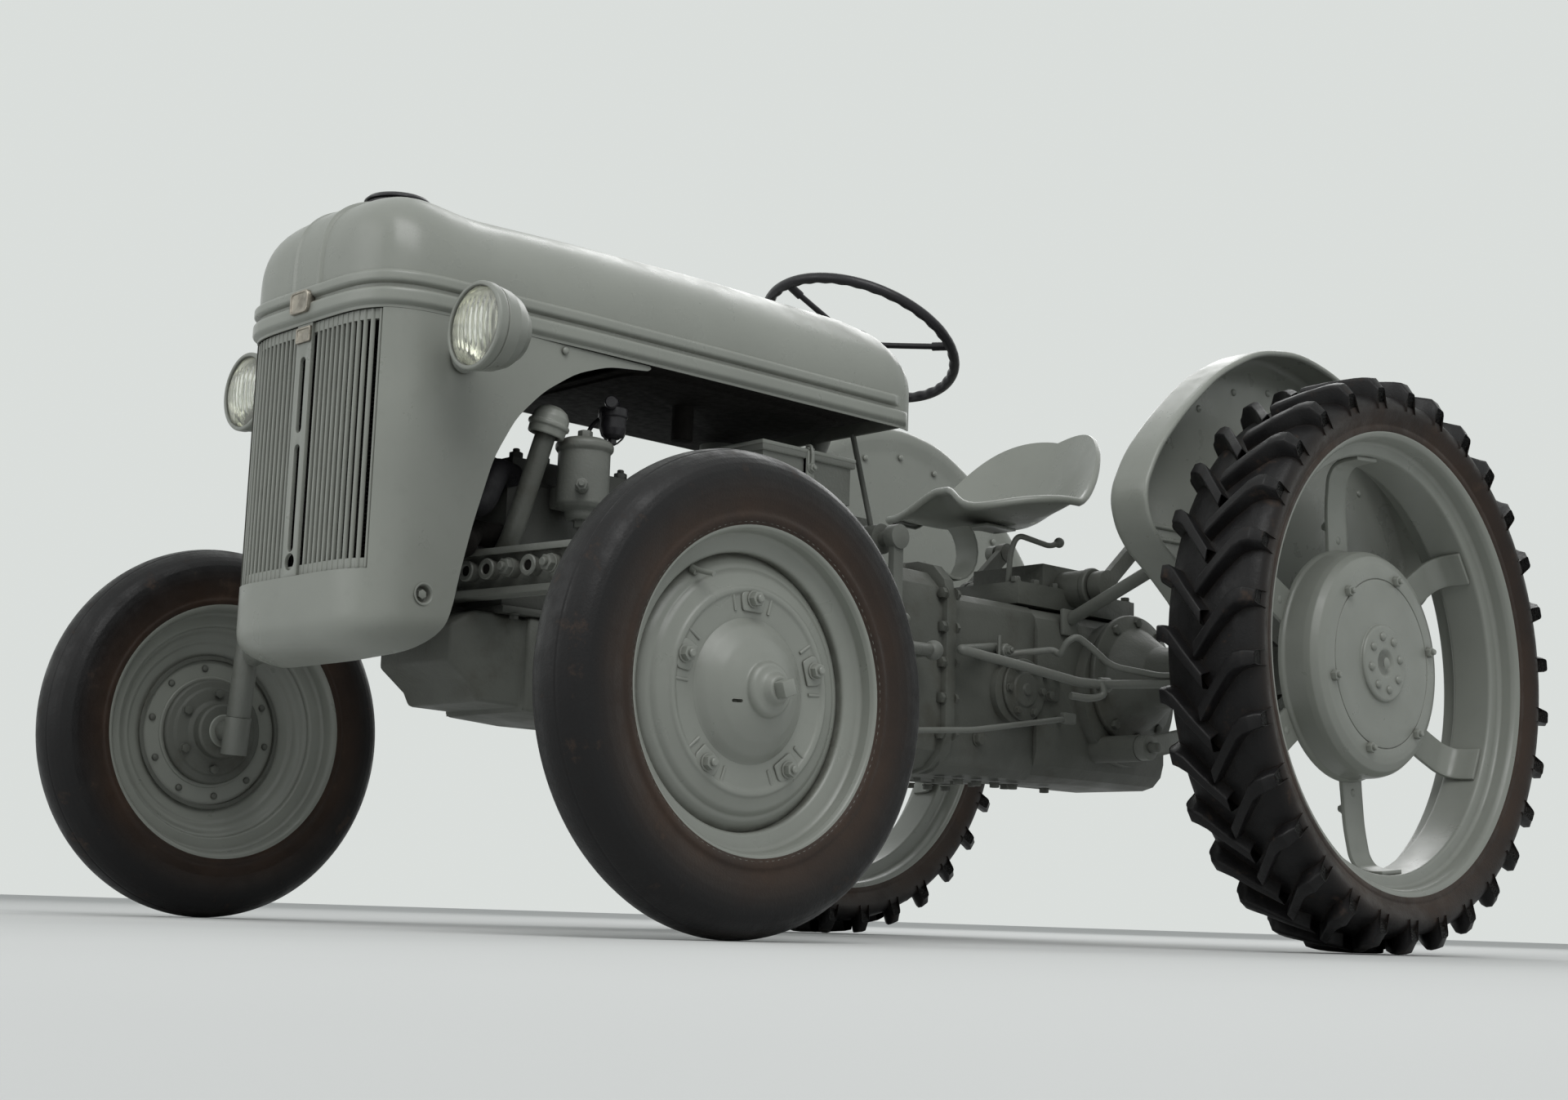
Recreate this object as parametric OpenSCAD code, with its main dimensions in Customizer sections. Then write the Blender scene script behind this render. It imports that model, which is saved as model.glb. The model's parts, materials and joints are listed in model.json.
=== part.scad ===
/* [Stance] */
// Distance between the front and rear axles
wheelbase = 1778; // [1650:1:1900]
// Distance between the middles of the front tyres
front_track = 1602; // [1560:1:1700]
// Distance between the middles of the rear tyres
rear_track = 1608; // [1590:1:1700]
// Distance from the rear axle back to the tips of the lower links
link_tail = 765; // [740:1:800]

/* [Front wheels] */
// Outside radius of a front tyre
front_tyre_r = 378; // [360:1:390]
// Width of a front tyre
front_tyre_w = 118; // [105:1:125]
// Radius of the front rim's edge
front_rim_r = 264; // [250:1:270]
// Width of the front rim across its flanges
front_rim_w = 112; // [100:1:120]
// Lean of the steering pivots, tops inward
king_lean = 7; // [4:0.5:9]

/* [Rear wheels] */
// Height of a rear tyre's lugs over its rim's edge
rear_tyre_h = 112; // [106:1:118]
// Width of a rear tyre
rear_tyre_w = 228; // [200:1:236]
// Radius of the rear rim's edge
rear_rim_r = 488; // [478:1:492]
// Width of the rear rim across its flanges
rear_rim_w = 184; // [170:1:190]
// Radius of the rear wheel's dished centre
dish_r = 240; // [225:1:250]

/* [Hood] */
// Height of the hood's lower edge
hood_low = 1036; // [1000:1:1060]
// Height of the hood's crown
hood_top = 1296; // [1260:1:1320]
// Half the width of the nose
nose_half = 245; // [225:1:260]
// Half the width of the hood at its rear
cowl_half = 254; // [240:1:270]
// Distance that the nose reaches ahead of the front axle
nose_reach = 326; // [300:1:350]
// Distance from the front axle back to the hood's rear edge
hood_back = 955; // [900:1:980]
// Thickness of the sheet metal
sheet = 4; // [3:0.5:5]
// Number of bars in each half of the grille
bar_count = 12; // [8:1:14]
// Radius of a headlamp's shell
lamp_r = 74; // [60:1:80]
// Distance of a headlamp's middle from the centre plane
lamp_off = 370; // [350:1:390]

/* [Driver] */
// Diameter of the steering wheel
wheel_dia = 457; // [400:1:480]
// Tilt of the steering column from upright
column_tilt = 24.5; // [20:0.5:30]
// Length of the seat pan
seat_len = 456; // [420:1:470]
// Width of the seat pan
seat_w = 496; // [460:1:510]
// Reach of the fenders from the axle to their front
fender_r = 662; // [640:1:680]

/* [Hitch] */
// Diameter of the bores in the lower links' balls
link_bore = 22.4; // [20:0.1:29]
// Diameter of the top link's pin hole
top_link_bore = 19.3; // [18:0.1:26]
// Diameter of the power take-off shaft
pto_d = 28.6; // [25:0.1:35]
// Length of a lift arm between its pins
lift_arm_len = 210; // [190:1:230]

/* [Hidden] */
fine = 96;
mid = 48;
// Radial gap of a shaft in its bore, and gap between a piece and its seat
run_gap = 0.05;
seat_gap = 0.3;
// Flat sides around a bent rod
rod_sides = 20;

body_grey = "#989b94";
hood_grey = "#b4b7b0";
iron_grey = "#6e716a";
tyre_black = "#262422";
trim_black = "#1c1c1c";

// All modules draw from the front axle: x forward, y to the left, z up from the ground.
front_x = (wheelbase + link_tail - front_tyre_r) / 2;
rear = -wheelbase;
rear_tyre_r = rear_rim_r + rear_tyre_h;
module placed() { translate([front_x, 0, 0]) children(); }

// Rods, bent rods and turned shapes
module rod(a, b, d) {
  v = b - a;
  length = norm(v);
  translate(a) rotate([0, acos(v[2] / length), atan2(v[1], v[0])])
    cylinder(h = length, d = d, $fn = mid);
}
module bent_rod(pts, d) {
  for (i = [1:len(pts) - 1]) rod(pts[i - 1], pts[i], d);
  for (i = [1:len(pts) - 2]) translate(pts[i]) sphere(d = d + 1.2, $fn = mid);
}
// A bent rod of flat facets, mitred at its corners
function bend_dir(p, i) = let (m = len(p) - 1) i == 0 ? unit(p[1] - p[0]) : i == m ? unit(p[m] - p[m - 1])
  : unit(unit(p[i] - p[i - 1]) + unit(p[i + 1] - p[i]));
function rod_ring(p, d, i) = i == 0
  ? let (u = unit(cross(bend_dir(p, 0), [0.02, 0.03, 1])), v = cross(bend_dir(p, 0), u))
    [for (k = [0:rod_sides - 1]) p[0] + d / 2 * (cos(k * 360 / rod_sides) * u + sin(k * 360 / rod_sides) * v)]
  : let (along = unit(p[i] - p[i - 1]), plane = bend_dir(p, i))
    [for (q = rod_ring(p, d, i - 1)) q + along * ((p[i] - q) * plane) / (along * plane)];
module swept_rod(p, d) {
  n = rod_sides;
  m = len(p);
  polyhedron([for (i = [0:m - 1], q = rod_ring(p, d, i)) q], concat(
    [[for (k = [0:n - 1]) k]], [[for (k = [n - 1:-1:0]) (m - 1) * n + k]],
    [for (i = [0:m - 2], k = [0:n - 1]) let (a = i * n + k, b = i * n + (k + 1) % n) [a, a + n, b + n, b]]));
}
module turned(pts) { rotate_extrude($fn = fine) polygon(pts); }
module across(side) { rotate([-90 * side, 0, 0]) children(); }
module pin_y(at, r, len_y) { translate(at) rotate([90, 0, 0]) cylinder(h = len_y, r = r, center = true, $fn = mid); }
module slab(size, r) {
  linear_extrude(size[2]) offset_square([size[0], size[1]], r);
}
module offset_square(s, r) {
  polygon([for (q = [[1, 1, 0], [-1, 1, 90], [-1, -1, 180], [1, -1, 270]], a = [0:30:90])
    [q[0] * (s[0] / 2 - r) + r * cos(a + q[2]), q[1] * (s[1] / 2 - r) + r * sin(a + q[2])]]);
}
// A ring of places around the z axis
module ring(n, r, from = 0) { for (i = [0:n - 1]) rotate(from + i * 360 / n) translate([r, 0, 0]) children(); }

// A sheet wall that follows a line, with mitred corners
function unit(v) = v / norm(v);
function side_of(a, b) = let (d = unit(b - a)) [-d[1], d[0]];
function corner_of(p, i) = let (n = len(p),
  a = i > 0 ? side_of(p[i - 1], p[i]) : side_of(p[0], p[1]),
  b = i < n - 1 ? side_of(p[i], p[i + 1]) : a) (a + b) / (1 + a * b);
function wall(p, t) = concat(p, [for (i = [len(p) - 1:-1:0]) p[i] + t * corner_of(p, i)]);

// Front tyre and wheel, turned around their axle with the outer face up
module front_tyre(side) {
  half = front_tyre_w / 2;
  w = front_rim_w / 2 - seat_gap;
  bead = front_seat_r + seat_gap;
  crown = [for (a = [-60:20:60]) [front_tyre_r - half + half * cos(a), half * sin(a)]];
  color(tyre_black) placed() front_place(side) turned(concat(
    [[bead, 10 - w], [bead + 3.2, -w], [front_rim_r, -w], [front_rim_r + 6, -half * 0.9]], crown,
    [[front_rim_r + 6, half * 0.9], [front_rim_r, w], [bead + 3.2, w], [bead, w - 10]]));
}
module front_place(side) { translate([0, side * front_track / 2, front_tyre_r]) across(side) children(); }
cap_r = 120;
front_nut_r = 142;
front_seat_r = front_rim_r - 17;
front_groove = 28;
front_disc_z = 30;
front_hub_r = 34;
front_hub_in = 44;
journal_r = 16;
module front_wheel(side) {
  w = front_rim_w / 2;
  well_r = front_seat_r - front_groove;
  color(body_grey) placed() front_place(side) {
    turned(wall([[front_rim_r, -w], [front_seat_r + 3, -w], [front_seat_r, -w + 10], [front_seat_r - 3, -18],
      [well_r, -12], [well_r, 10], [front_seat_r - 3, 18], [front_seat_r, w - 10],
      [front_seat_r + 3, w], [front_rim_r, w]], 4));
    turned([[cap_r - 30, front_disc_z - 16], [cap_r - 30, front_disc_z - 21], [cap_r + 10, front_disc_z - 20],
      [cap_r + 22, front_disc_z - 5], [178, front_disc_z - 5], [200, front_disc_z - 22], [well_r - 2, -6],
      [well_r + 1, -6], [well_r + 1, 6], [202, front_disc_z - 15],
      [180, front_disc_z], [cap_r + 20, front_disc_z], [cap_r + 8, front_disc_z - 14]]);
    turned([[0, 112], [14, 112], [24, 88], [38, 84], [41, 68], [62, 60], [88, 47], [108, 33], [cap_r, 20], [cap_r, 14],
      [cap_r - 6, 14], [cap_r - 10, 22], [front_hub_r + 6, 22], [front_hub_r, -front_hub_in],
      [journal_r + run_gap, -front_hub_in], [journal_r + run_gap, 40], [0, 40]]);
    ring(5, front_nut_r, 90) translate([0, 0, front_disc_z - 1]) cylinder(h = 14, r = 13, $fn = 6);
  }
}

// Rear tyre, rim with its brackets, and dished centre
module rear_place(side) { translate([rear, side * rear_track / 2, rear_tyre_r]) across(side) children(); }
rear_seat_r = rear_rim_r - 20;
lug_h = 30;
lug_count = 30;
tread_r = rear_tyre_r - lug_h;
// A bar's flat top sits this far inside the tyre's outline, so that its corners reach it
lug_sag = 1.3;
module rear_tyre(side) {
  half = rear_tyre_w / 2;
  bead = rear_seat_r + seat_gap;
  w = rear_rim_w / 2 - seat_gap;
  color(tyre_black) placed() rear_place(side) {
    turned([[bead, 12 - w], [bead + 3.2, -w], [rear_rim_r, -w],
    [rear_rim_r + 14, -half + 12], [rear_rim_r + 44, -half + 4], [tread_r - 34, -half + 10],
    [tread_r - 12, -half + 34], [tread_r, 0], [tread_r - 12, half - 34],
    [tread_r - 34, half - 10], [rear_rim_r + 44, half - 4], [rear_rim_r + 14, half - 12],
    [rear_rim_r, w], [bead + 3.2, w], [bead, w - 12]]);
    mirror([0, side > 0 ? 1 : 0, 0]) for (s = [-1, 1]) ring(lug_count, 0, s * 90 / lug_count) lug(s);
  }
}
// One bar of the tread, from just past the middle out to the shoulder
module lug(s) {
  half = rear_tyre_w / 2;
  translate([tread_r - 30, 0, 0]) rotate([90, 0, 90]) linear_extrude(rear_tyre_r - tread_r + 30 - lug_sag)
    polygon([for (q = [[-76, -8], [-46, -8], [50, 72], [56, half], [22, half], [18, 78]]) [q[0], s * q[1]]]);
}
rim_well_r = rear_rim_r - 50;
trumpet_end = rear_track / 2 - 113;
axle_r = 34;
shaft_in = rear_track / 2 - trumpet_end + 50;
dish_face = 44;
dish_nut_r = 188;
dish_back = -52;
module rear_rim(side) {
  w = rear_rim_w / 2;
  s = rear_seat_r;
  color(body_grey) placed() rear_place(side) {
    turned(wall([[rear_rim_r, -w], [s + 3, -w], [s, -w + 12], [s - 4, -48], [rim_well_r, -40],
      [rim_well_r, 40], [s - 4, 48], [s, w - 12], [s + 3, w], [rear_rim_r, w]], 5));
    ring(6, 0, 35) translate([0, 0, dish_back + 0.5]) rim_bracket();
  }
}
module rim_bracket() {
  pw = 74;
  translate([dish_r - 30, -pw / 2, -7]) cube([rim_well_r - dish_r + 12, pw, 6.5]);
  translate([rim_well_r - 18, -pw / 2, -7]) cube([8, pw, 62]);
  translate([rim_well_r - 18, -pw / 2, 25]) cube([14.5, pw, 30]);
}
module rear_dish(side) {
  f = dish_face;
  b = dish_back;
  color(body_grey) placed() rear_place(side) {
    turned([[0, -shaft_in], [axle_r, -shaft_in], [axle_r, b + 8], [62, b + 8], [62, f - 12], [130, f - 12],
      [dish_r - 28, f - 15], [dish_r - 14, f - 32],
      [dish_r - 7, b + 7], [dish_r - 40, b + 7], [dish_r - 40, b + 0.5], [dish_r + 6, b + 0.5], [dish_r, f - 30],
      [dish_r - 20, f - 8], [158, f - 4], [152, f - 6], [80, f - 6], [76, f + 4], [30, f + 4], [26, f - 6], [0, f - 6]]);
    ring(6, dish_nut_r, 13) translate([0, 0, f - 12]) cylinder(h = 20, r = 11, $fn = 6);
  }
}

// Stub axles that turn on the steering pivots
king_y = front_track / 2 - 92;
king_z = front_tyre_r;
function king_axis(side) = [0, -side * sin(king_lean), cos(king_lean)];
king_low = 26;
king_top = 210;
king_pin_r = 13;
module king_place(side) { translate([0, side * king_y, king_z]) rotate([side * king_lean, 0, 0]) children(); }
steer_arm = 150;
spindle_len = front_track / 2 - king_y - front_hub_in - seat_gap;
module knuckle(side) {
  color(iron_grey) placed() {
    king_place(side) {
      translate([0, 0, -50]) cylinder(h = 50 + king_low - seat_gap, r = 26, $fn = mid);
      cylinder(h = 238, r = king_pin_r, $fn = mid);
    }
    translate([0, side * (king_y - 6), king_z]) across(side) {
      cylinder(h = spindle_len + 6, r = 22, $fn = mid);
      cylinder(h = spindle_len + 80, r = journal_r, $fn = mid);
    }
    knuckle_arm(side);
  }
}
arm_lift = 222;
arm_z = king_z + arm_lift;
arm_foot_y = king_y - sin(king_lean) * arm_lift;
function arm_tip(side) = [-12, side * (arm_foot_y - steer_arm), arm_z + 2];
module knuckle_arm(side) {
  translate([0, side * arm_foot_y, arm_z - 9]) cylinder(h = 22, r = 24, $fn = mid);
  rod([0, side * arm_foot_y, arm_z + 2], arm_tip(side), 18);
  translate(arm_tip(side) - [0, 0, 10]) cylinder(h = 20, r = 17, $fn = mid);
}

// Front axle: swept I-beam, two outer arms and their pivot tubes
beam_x = 36;
beam_z = 622;
beam_h = 84;
beam_sweep = 60;
module front_axle() {
  color(iron_grey) placed() {
    translate([beam_x, 0, beam_z]) for (s = [-1, 1]) mirror([0, s < 0 ? 1 : 0, 0]) beam_half();
    for (s = [-1, 1]) {
      king_place(s) difference() {
        translate([0, 0, king_low]) cylinder(h = king_top - king_low, r = 24, $fn = mid);
        translate([0, 0, 10]) cylinder(h = 210, r = king_pin_r + run_gap, $fn = mid);
      }
      rod([beam_x - beam_sweep, s * 310, beam_z - 6], [0, s * (king_y - 42), king_z + 150], 46);
    }
    along_x(eng_front + 0.3, 62, 0, beam_z - 20, 24);
  }
}
module beam_half() {
  reach = 400;
  rotate([0, 0, -atan(beam_sweep / reach) * -1]) {
    translate([-18, -6, -beam_h / 2]) cube([12, reach, beam_h]);
    for (z = [-beam_h / 2, beam_h / 2 - 12]) translate([-38, -6, z]) cube([48, reach, 12]);
    for (y = [110:51:365]) translate([-40, y, 4]) rotate([0, 90, 0]) cylinder(h = 52, r = 17, $fn = mid);
  }
}
module radius_rods() {
  color(iron_grey) placed() for (s = [-1, 1]) {
    rod([-58, s * 372, beam_z - 62], [-1060, s * 232, 592], 26);
    translate([-1060, s * 232, 592]) sphere(r = 21, $fn = mid);
    rod([-1060, s * (case_half + 10.3), 592], [-1060, s * 232, 592], 24);
    translate([-58, s * 372, beam_z - 74]) cylinder(h = 31.7, r = 17, $fn = mid);
  }
}

// Engine, open to view between the side panels and the cowl
eng_front = -40;
eng_back = -560;
eng_half = 120;
block_top = 800;
bell_top = 790;
fan_z = 805;
module along_x(x0, x1, y, z, r) { translate([x0, y, z]) rotate([0, 90, 0]) cylinder(h = x1 - x0, r = r, $fn = mid); }
module engine_block() {
  color(iron_grey) placed() {
    translate([eng_back, -eng_half, pan_seam]) cube([eng_front - eng_back, 2 * eng_half, block_top - pan_seam]);
    translate([eng_back + 20, -eng_half + 16, block_top - 1]) cube([eng_front - eng_back - 40, 2 * eng_half - 32, 52]);
    along_x(eng_front - 5, 78, 0, fan_z, 14);
    along_x(eng_front - 5, eng_front + 50, 0, fan_z, 38);
    along_x(24, 42, 0, fan_z, 60);
    along_x(56, 88, 0, fan_z, 40);
    for (a = [0:90:270]) translate([72, 0, fan_z]) rotate([a + 20, 0, 0]) translate([-2, -30, 20]) cube([4, 60, 145]);
    along_x(-205, -60, -186, 640, 52);
    translate([-180, -150, 610]) cube([80, 40, 50]);
    along_x(eng_back, -340, 166, 600, 44);
    translate([eng_back, 110, 575]) cube([60, 30, 50]);
  }
}
pan_seam = 560;
module across_y(w) { rotate([90, 0, 0]) linear_extrude(w, center = true) children(); }
module oil_pan() {
  color(iron_grey) placed() {
    across_y(250) polygon([[eng_back, pan_seam - 0.3], [eng_back, 380], [-220, 380], [-100, 388], [-100, pan_seam - 0.3]]);
    across_y(220) polygon([[-105, pan_seam - 0.3], [-105, 396], [-6, 398], [6, 421], [60, 462], [60, 530], [10, pan_seam - 0.3]]);
  }
}
module exhaust() {
  color(iron_grey) placed() {
    translate([-540, -eng_half - 48, 730]) cube([460, 47.7, 60]);
    bent_rod([[-300, -150, 750], [-300, -190, 620], [-420, -205, 480], [-560, -220, 402]], 42);
    rod([-545, -220, 402], [-1000, -235, 402], 90);
    bent_rod([[-990, -235, 402], [-1180, -235, 402], [rear + 178, -262, 395]], 38);
  }
}
module air_cleaner() {
  color(body_grey) placed() {
    translate([-760, -120, bell_top + 0.3]) cylinder(h = 190, r = 60, $fn = mid);
    translate([-760, -120, bell_top + 189]) cylinder(h = 40, r = 42, $fn = mid);
    bent_rod([[-760, -130, 840], [-640, -175, 840], [-560, -190, 700], [-440, -156, 680]], 36);
    translate([-430, -152, 640]) cylinder(h = 89.7, r = 31, $fn = mid);
  }
}
module radiator() {
  color(trim_black) placed() {
    translate([130, -200, 660]) cube([66, 400, 330]);
    translate([122, -205, 989]) cube([82, 410, 40]);
    translate([122, -205, 610]) cube([82, 410, 51]);
    bent_rod([[135, 140, 640], [70, 150, 665], [20, 100, 700], [eng_front + seat_gap, 100, 700]], 46);
    for (s = [-1, 1]) translate([132, s * (nose_half - sheet - 19.4) - 18, 620]) cube([28, 36, 20]);
  }
}
module fuel_tank() {
  color(iron_grey) placed() translate([-540, 0, 1080]) {
    translate([0, 0, -50]) slab([560, 420, 170], 60);
    translate([40, 60, -120]) cylinder(h = 72, r = 22, $fn = mid);
    translate([0, 0, -41.7]) cube([600, 2 * (hood_half(-240) - sheet - seat_gap), 5], center = true);
  }
}
module battery_box() {
  color(iron_grey) placed() {
    translate([-845, 20, 868]) cube([245, 170, 78]);
    translate([-852, 13, 945]) cube([259, 184, 12]);
    translate([-735, 12, 866]) cube([24, 186, 94]);
    for (x = [-830, -650]) translate([x, 25, bell_top + 0.3]) cube([26, 44, 79]);
  }
}
module oil_filter() {
  color(iron_grey) placed() translate([-160, 186, 0]) {
    translate([0, 0, 755]) cylinder(h = 118, r = 48, $fn = mid);
    translate([0, 0, 868]) cylinder(h = 16, r = 53, $fn = mid);
    translate([0, 0, 738]) cylinder(h = 18, r = 30, $fn = mid);
    translate([0, 0, 722]) cylinder(h = 18, r = 11, $fn = 6);
    translate([-26, -65.7, 762]) cube([52, 40, 34]);
  }
}
breather_x = -62;
module breather() {
  color(iron_grey) placed() {
    bent_rod([[breather_x, eng_half + seat_gap, 690], [breather_x, 155, 690], [breather_x, 190, 882]], 40);
    translate([breather_x, 194, 880]) cylinder(h = 30, r = 37, $fn = mid);
    translate([breather_x, 194, 908]) intersection() {
      sphere(r = 40, $fn = mid);
      cylinder(h = 30, r = 40, $fn = mid);
    }
  }
}

// Sheet metal nose and hood: columns stand on a plan line and lean in to the spine
plan_power = 5;
nose_spine = 60;
function plan_x(a, inset = 0) = nose_spine + (nose_reach - nose_spine - inset) * pow(sin(a), 2 / plan_power);
function plan_y(a, inset = 0) = (nose_half - inset) * pow(cos(a), 2 / plan_power);
// x of the nose's outer face at a given y
function nose_x(y, inset = 0) = nose_spine + (nose_reach - nose_spine - inset)
  * pow(1 - pow(abs(y) / (nose_half - inset), plan_power), 1 / plan_power);
plan_steps = [0, 12, 24, 36, 48, 60, 72, 82, 90];

// One column from the lower edge to the spine; rise may be negative for the pan
function column(b, s, z_edge, z_wall, z_spine, power, ribs) = concat(
  [for (q = ribs) [b[0] + q[1] * unit(b - s)[0], b[1] + q[1] * unit(b - s)[1], z_edge + q[0] * (z_wall - z_edge)]],
  [for (a = [10:16:90]) let (in = pow(cos(a), 2 / power), up = pow(sin(a), 2 / power))
    a > 89 ? [s[0], s[1], z_spine] : [s[0] + in * (b[0] - s[0]), s[1] + in * (b[1] - s[1]),
      z_wall + up * (z_spine - z_wall)]]);
hood_power = 2.15;
// Ribs: share of the wall's height, and how far the metal stands out there
hood_ribs = [[0, 0], [0.12, 6], [0.26, 6], [0.38, 0], [0.52, 0], [0.62, 8], [0.8, 8], [0.92, 0]];
plain_ribs = [[0, 0], [0.9, 0]];
// Hood stations: x from the front axle, share of the rear half width, drop of the crown
hood_stations = [[0, 0.965, 44], [14, 0.985, 26], [40, 1, 12], [110, 1, 2], [500, 1, 0], [800, 0.99, 6]];
// The crown is this much lower over the nose
nose_drop = 14;
function cowl_columns(stations, back, half_back, ribs, z, inset) = concat(
  [for (q = stations) let (x = -back + q[0], half = half_back * q[1] - inset)
    column([x, half], [x, 0], z[0], z[1], z[2] - sign(z[2] - z[1]) * (q[2] + inset), hood_power, ribs)],
  [for (i = [0:len(plan_steps) - 1]) let (a = plan_steps[i])
    column([plan_x(a, inset), plan_y(a, inset)], [nose_spine, 0], z[0], z[1],
      z[2] > z[1] ? z[2] - nose_drop - inset : z[2] + inset, hood_power + 1.2 * sin(a), ribs)]);
function both_sides(c) = concat(c, [for (i = [len(c) - 2:-1:0]) [for (p = c[i]) [p[0], -p[1], p[2]]]]);
module cowl(stations, back, half_back, ribs, z) {
  outer = both_sides(cowl_columns(stations, back, half_back, ribs, z, 0));
  inner = both_sides(cowl_columns(stations, back, half_back, ribs, z, sheet));
  n = len(outer);
  m = len(outer[0]);
  pts = concat([for (c = outer, p = c) p], [for (c = inner, p = c) p]);
  fan_from = len(stations);
  fan_to = n - 1 - len(stations);
  up = z[2] > z[1];
  quads = concat(
    [for (i = [0:n - 2], j = [0:m - 2]) let (a = i * m + j, b = a + m, last = j == m - 2 && i >= fan_from && i < fan_to)
      last ? [a, b, a + 1] : [a, b, b + 1, a + 1]],
    [for (i = [0:n - 2], j = [0:m - 2]) let (a = n * m + i * m + j, b = a + m, last = j == m - 2 && i >= fan_from && i < fan_to)
      last ? [a, a + 1, b] : [a, a + 1, b + 1, b]],
    [for (i = [0:n - 2]) let (a = i * m, b = a + m, c = n * m) [a, a + c, b + c, b]],
    [for (j = [0:m - 2]) let (c = n * m) [j, j + 1, j + 1 + c, j + c]],
    [for (j = [0:m - 2]) let (c = n * m, k = (n - 1) * m) [k + j, k + j + c, k + j + 1 + c, k + j + 1]]);
  tris = [for (f = quads, k = [1:len(f) - 2]) [f[0], f[k], f[k + 1]]];
  polyhedron(pts, [for (t = tris) up ? t : [t[0], t[2], t[1]]]);
}
wall_top = hood_low + 74;
module hood() {
  color(hood_grey) placed() difference() {
    cowl(hood_stations, hood_back, cowl_half, hood_ribs, [hood_low, wall_top, hood_top]);
    translate([lid_x, 0, hood_top - 60]) cylinder(h = 120, r = neck_r + 2, $fn = fine);
  }
}
lid_x = 150;
lid_r = 62;
neck_r = 50;
lid_hinge = lid_r + 8;
module filler_lid() {
  color(hood_grey) placed() translate([lid_x, 0, hood_top - 0.4]) {
    turned([[0, -10], [neck_r, -10], [neck_r, 0], [lid_r, 0], [lid_r, 3], [lid_r - 6, 9], [0, 13]]);
    translate([-lid_hinge, -25, 0]) cube([12, 50, 3]);
    translate([-lid_hinge - 4, -25, 0.6 - nose_drop]) cube([8, 50, nose_drop + 4]);
    translate([-lid_hinge, 0, 5]) rotate([90, 0, 0]) cylinder(h = 50, r = 5, center = true, $fn = mid);
  }
}

// Grille, side panels and lower pan share the nose's plan line
grille_low = 588;
rail_inset = sheet + seat_gap;
grille_half = 205;
strip_half = 24;
module plan_band(inset, thick, z, h, half) {
  n = 24;
  line = [for (i = [0:n]) let (y = -half + 2 * half * i / n) [nose_x(y, inset), y]];
  back = [for (i = [n:-1:0]) let (y = -half + 2 * half * i / n) [nose_x(y, inset) - thick, y]];
  translate([0, 0, z]) linear_extrude(h) polygon(concat(line, back));
}
module grille() {
  pitch = (grille_half - strip_half) / (bar_count + 0.5);
  bar = pitch * 0.62;
  color(body_grey) placed() {
    difference() {
      union() {
        plan_band(1, 16, grille_low + 0.3, hood_low - grille_low - 0.6, strip_half);
        for (z = [grille_low + 0.3, hood_low - 18.3]) plan_band(rail_inset, 12, z, 18, grille_half - seat_gap / 2);
        for (s = [-1, 1], i = [1:bar_count]) let (y = s * (strip_half + i * pitch))
          translate([nose_x(y, 5) - 7, y, grille_low + 2]) linear_extrude(hood_low - grille_low - 4)
            offset_square([14, bar], bar * 0.3);
      }
      for (z = [[grille_low + 60, 190], [grille_low + 300, 80]]) translate([nose_reach - 40, -7, z[0]]) cube([60, 14, z[1]]);
      translate([nose_reach - 40, 0, grille_low + 26]) rotate([0, 90, 0]) cylinder(h = 60, r = 14, $fn = mid);
    }
  }
}
// Rear edge of a side panel, from its foot up the arch to its tail
arch = [[247, 446], [199, 461], [168, 491], [152, 535], [140, 599], [119, 686], [83, 806], [39, 885],
  [-17, 942], [-88, 989], [-162, 1016], [-254, 1026]];
module side_panels() {
  color(body_grey) placed() intersection() {
    translate([0, 0, grille_low - 150]) linear_extrude(700) for (s = [-1, 1]) mirror([0, s < 0 ? 1 : 0])
      polygon(wall(concat([for (y = [grille_half + seat_gap / 2, 220, 229, 236, 241, 244]) [nose_x(y), y]],
        [[nose_spine, nose_half], [-260, nose_half]]), sheet));
    rotate([90, 0, 0]) linear_extrude(700, center = true) nose_side(pan_top + 0.5, hood_low - 0.5);
  }
}
// Side view of the nose between two heights, bounded behind by the arch
module nose_side(low, high) {
  intersection() {
    polygon(concat([[nose_reach + 10, 400], [252, 400]], arch, [[-254, hood_low], [nose_reach + 10, hood_low]]));
    translate([-300, low]) square([nose_reach + 320, high - low]);
  }
}
pan_top = 560;
module nose_pan() {
  color(body_grey) placed() {
    intersection() {
      cowl([], 0, 0, plain_ribs, [pan_top, 520, 436]);
      rotate([90, 0, 0]) linear_extrude(700, center = true) nose_side(436 - 10, pan_top);
    }
    plan_band(rail_inset, 12, pan_top - 4, grille_low - pan_top + 4, grille_half - seat_gap / 2);
  }
}

// Headlamps on arms from the side panels
lamp_x = 130;
lamp_z = 990;
module headlamps() {
  color(body_grey) placed() for (s = [-1, 1]) translate([lamp_x, s * lamp_off, lamp_z]) {
    rotate([0, 90, 0]) turned([[0, 0], [20, 0], [48, 14], [68, 44], [lamp_r, 76], [lamp_r + 3, 78], [lamp_r + 3, 92],
      [lamp_r - 8, 92], [lamp_r - 8, 80], [0, 80]]);
    rod([30, 0, -20], [30, -s * (lamp_off - nose_half - 0.3), -20], 24);
    translate([30, -s * (lamp_off - nose_half - 5), -20]) rotate([90, 0, 0]) cylinder(h = 9.4, r = 26, center = true, $fn = mid);
  }
}
module lamp_lenses() {
  color("#e8e6cf") placed() for (s = [-1, 1]) translate([lamp_x + 80.2, s * lamp_off, lamp_z])
    rotate([0, 90, 0]) turned([[0, 0], [lamp_r - 8.3, 0], [lamp_r - 8.3, 8], [lamp_r - 24, 15], [0, 19]]);
}

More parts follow.
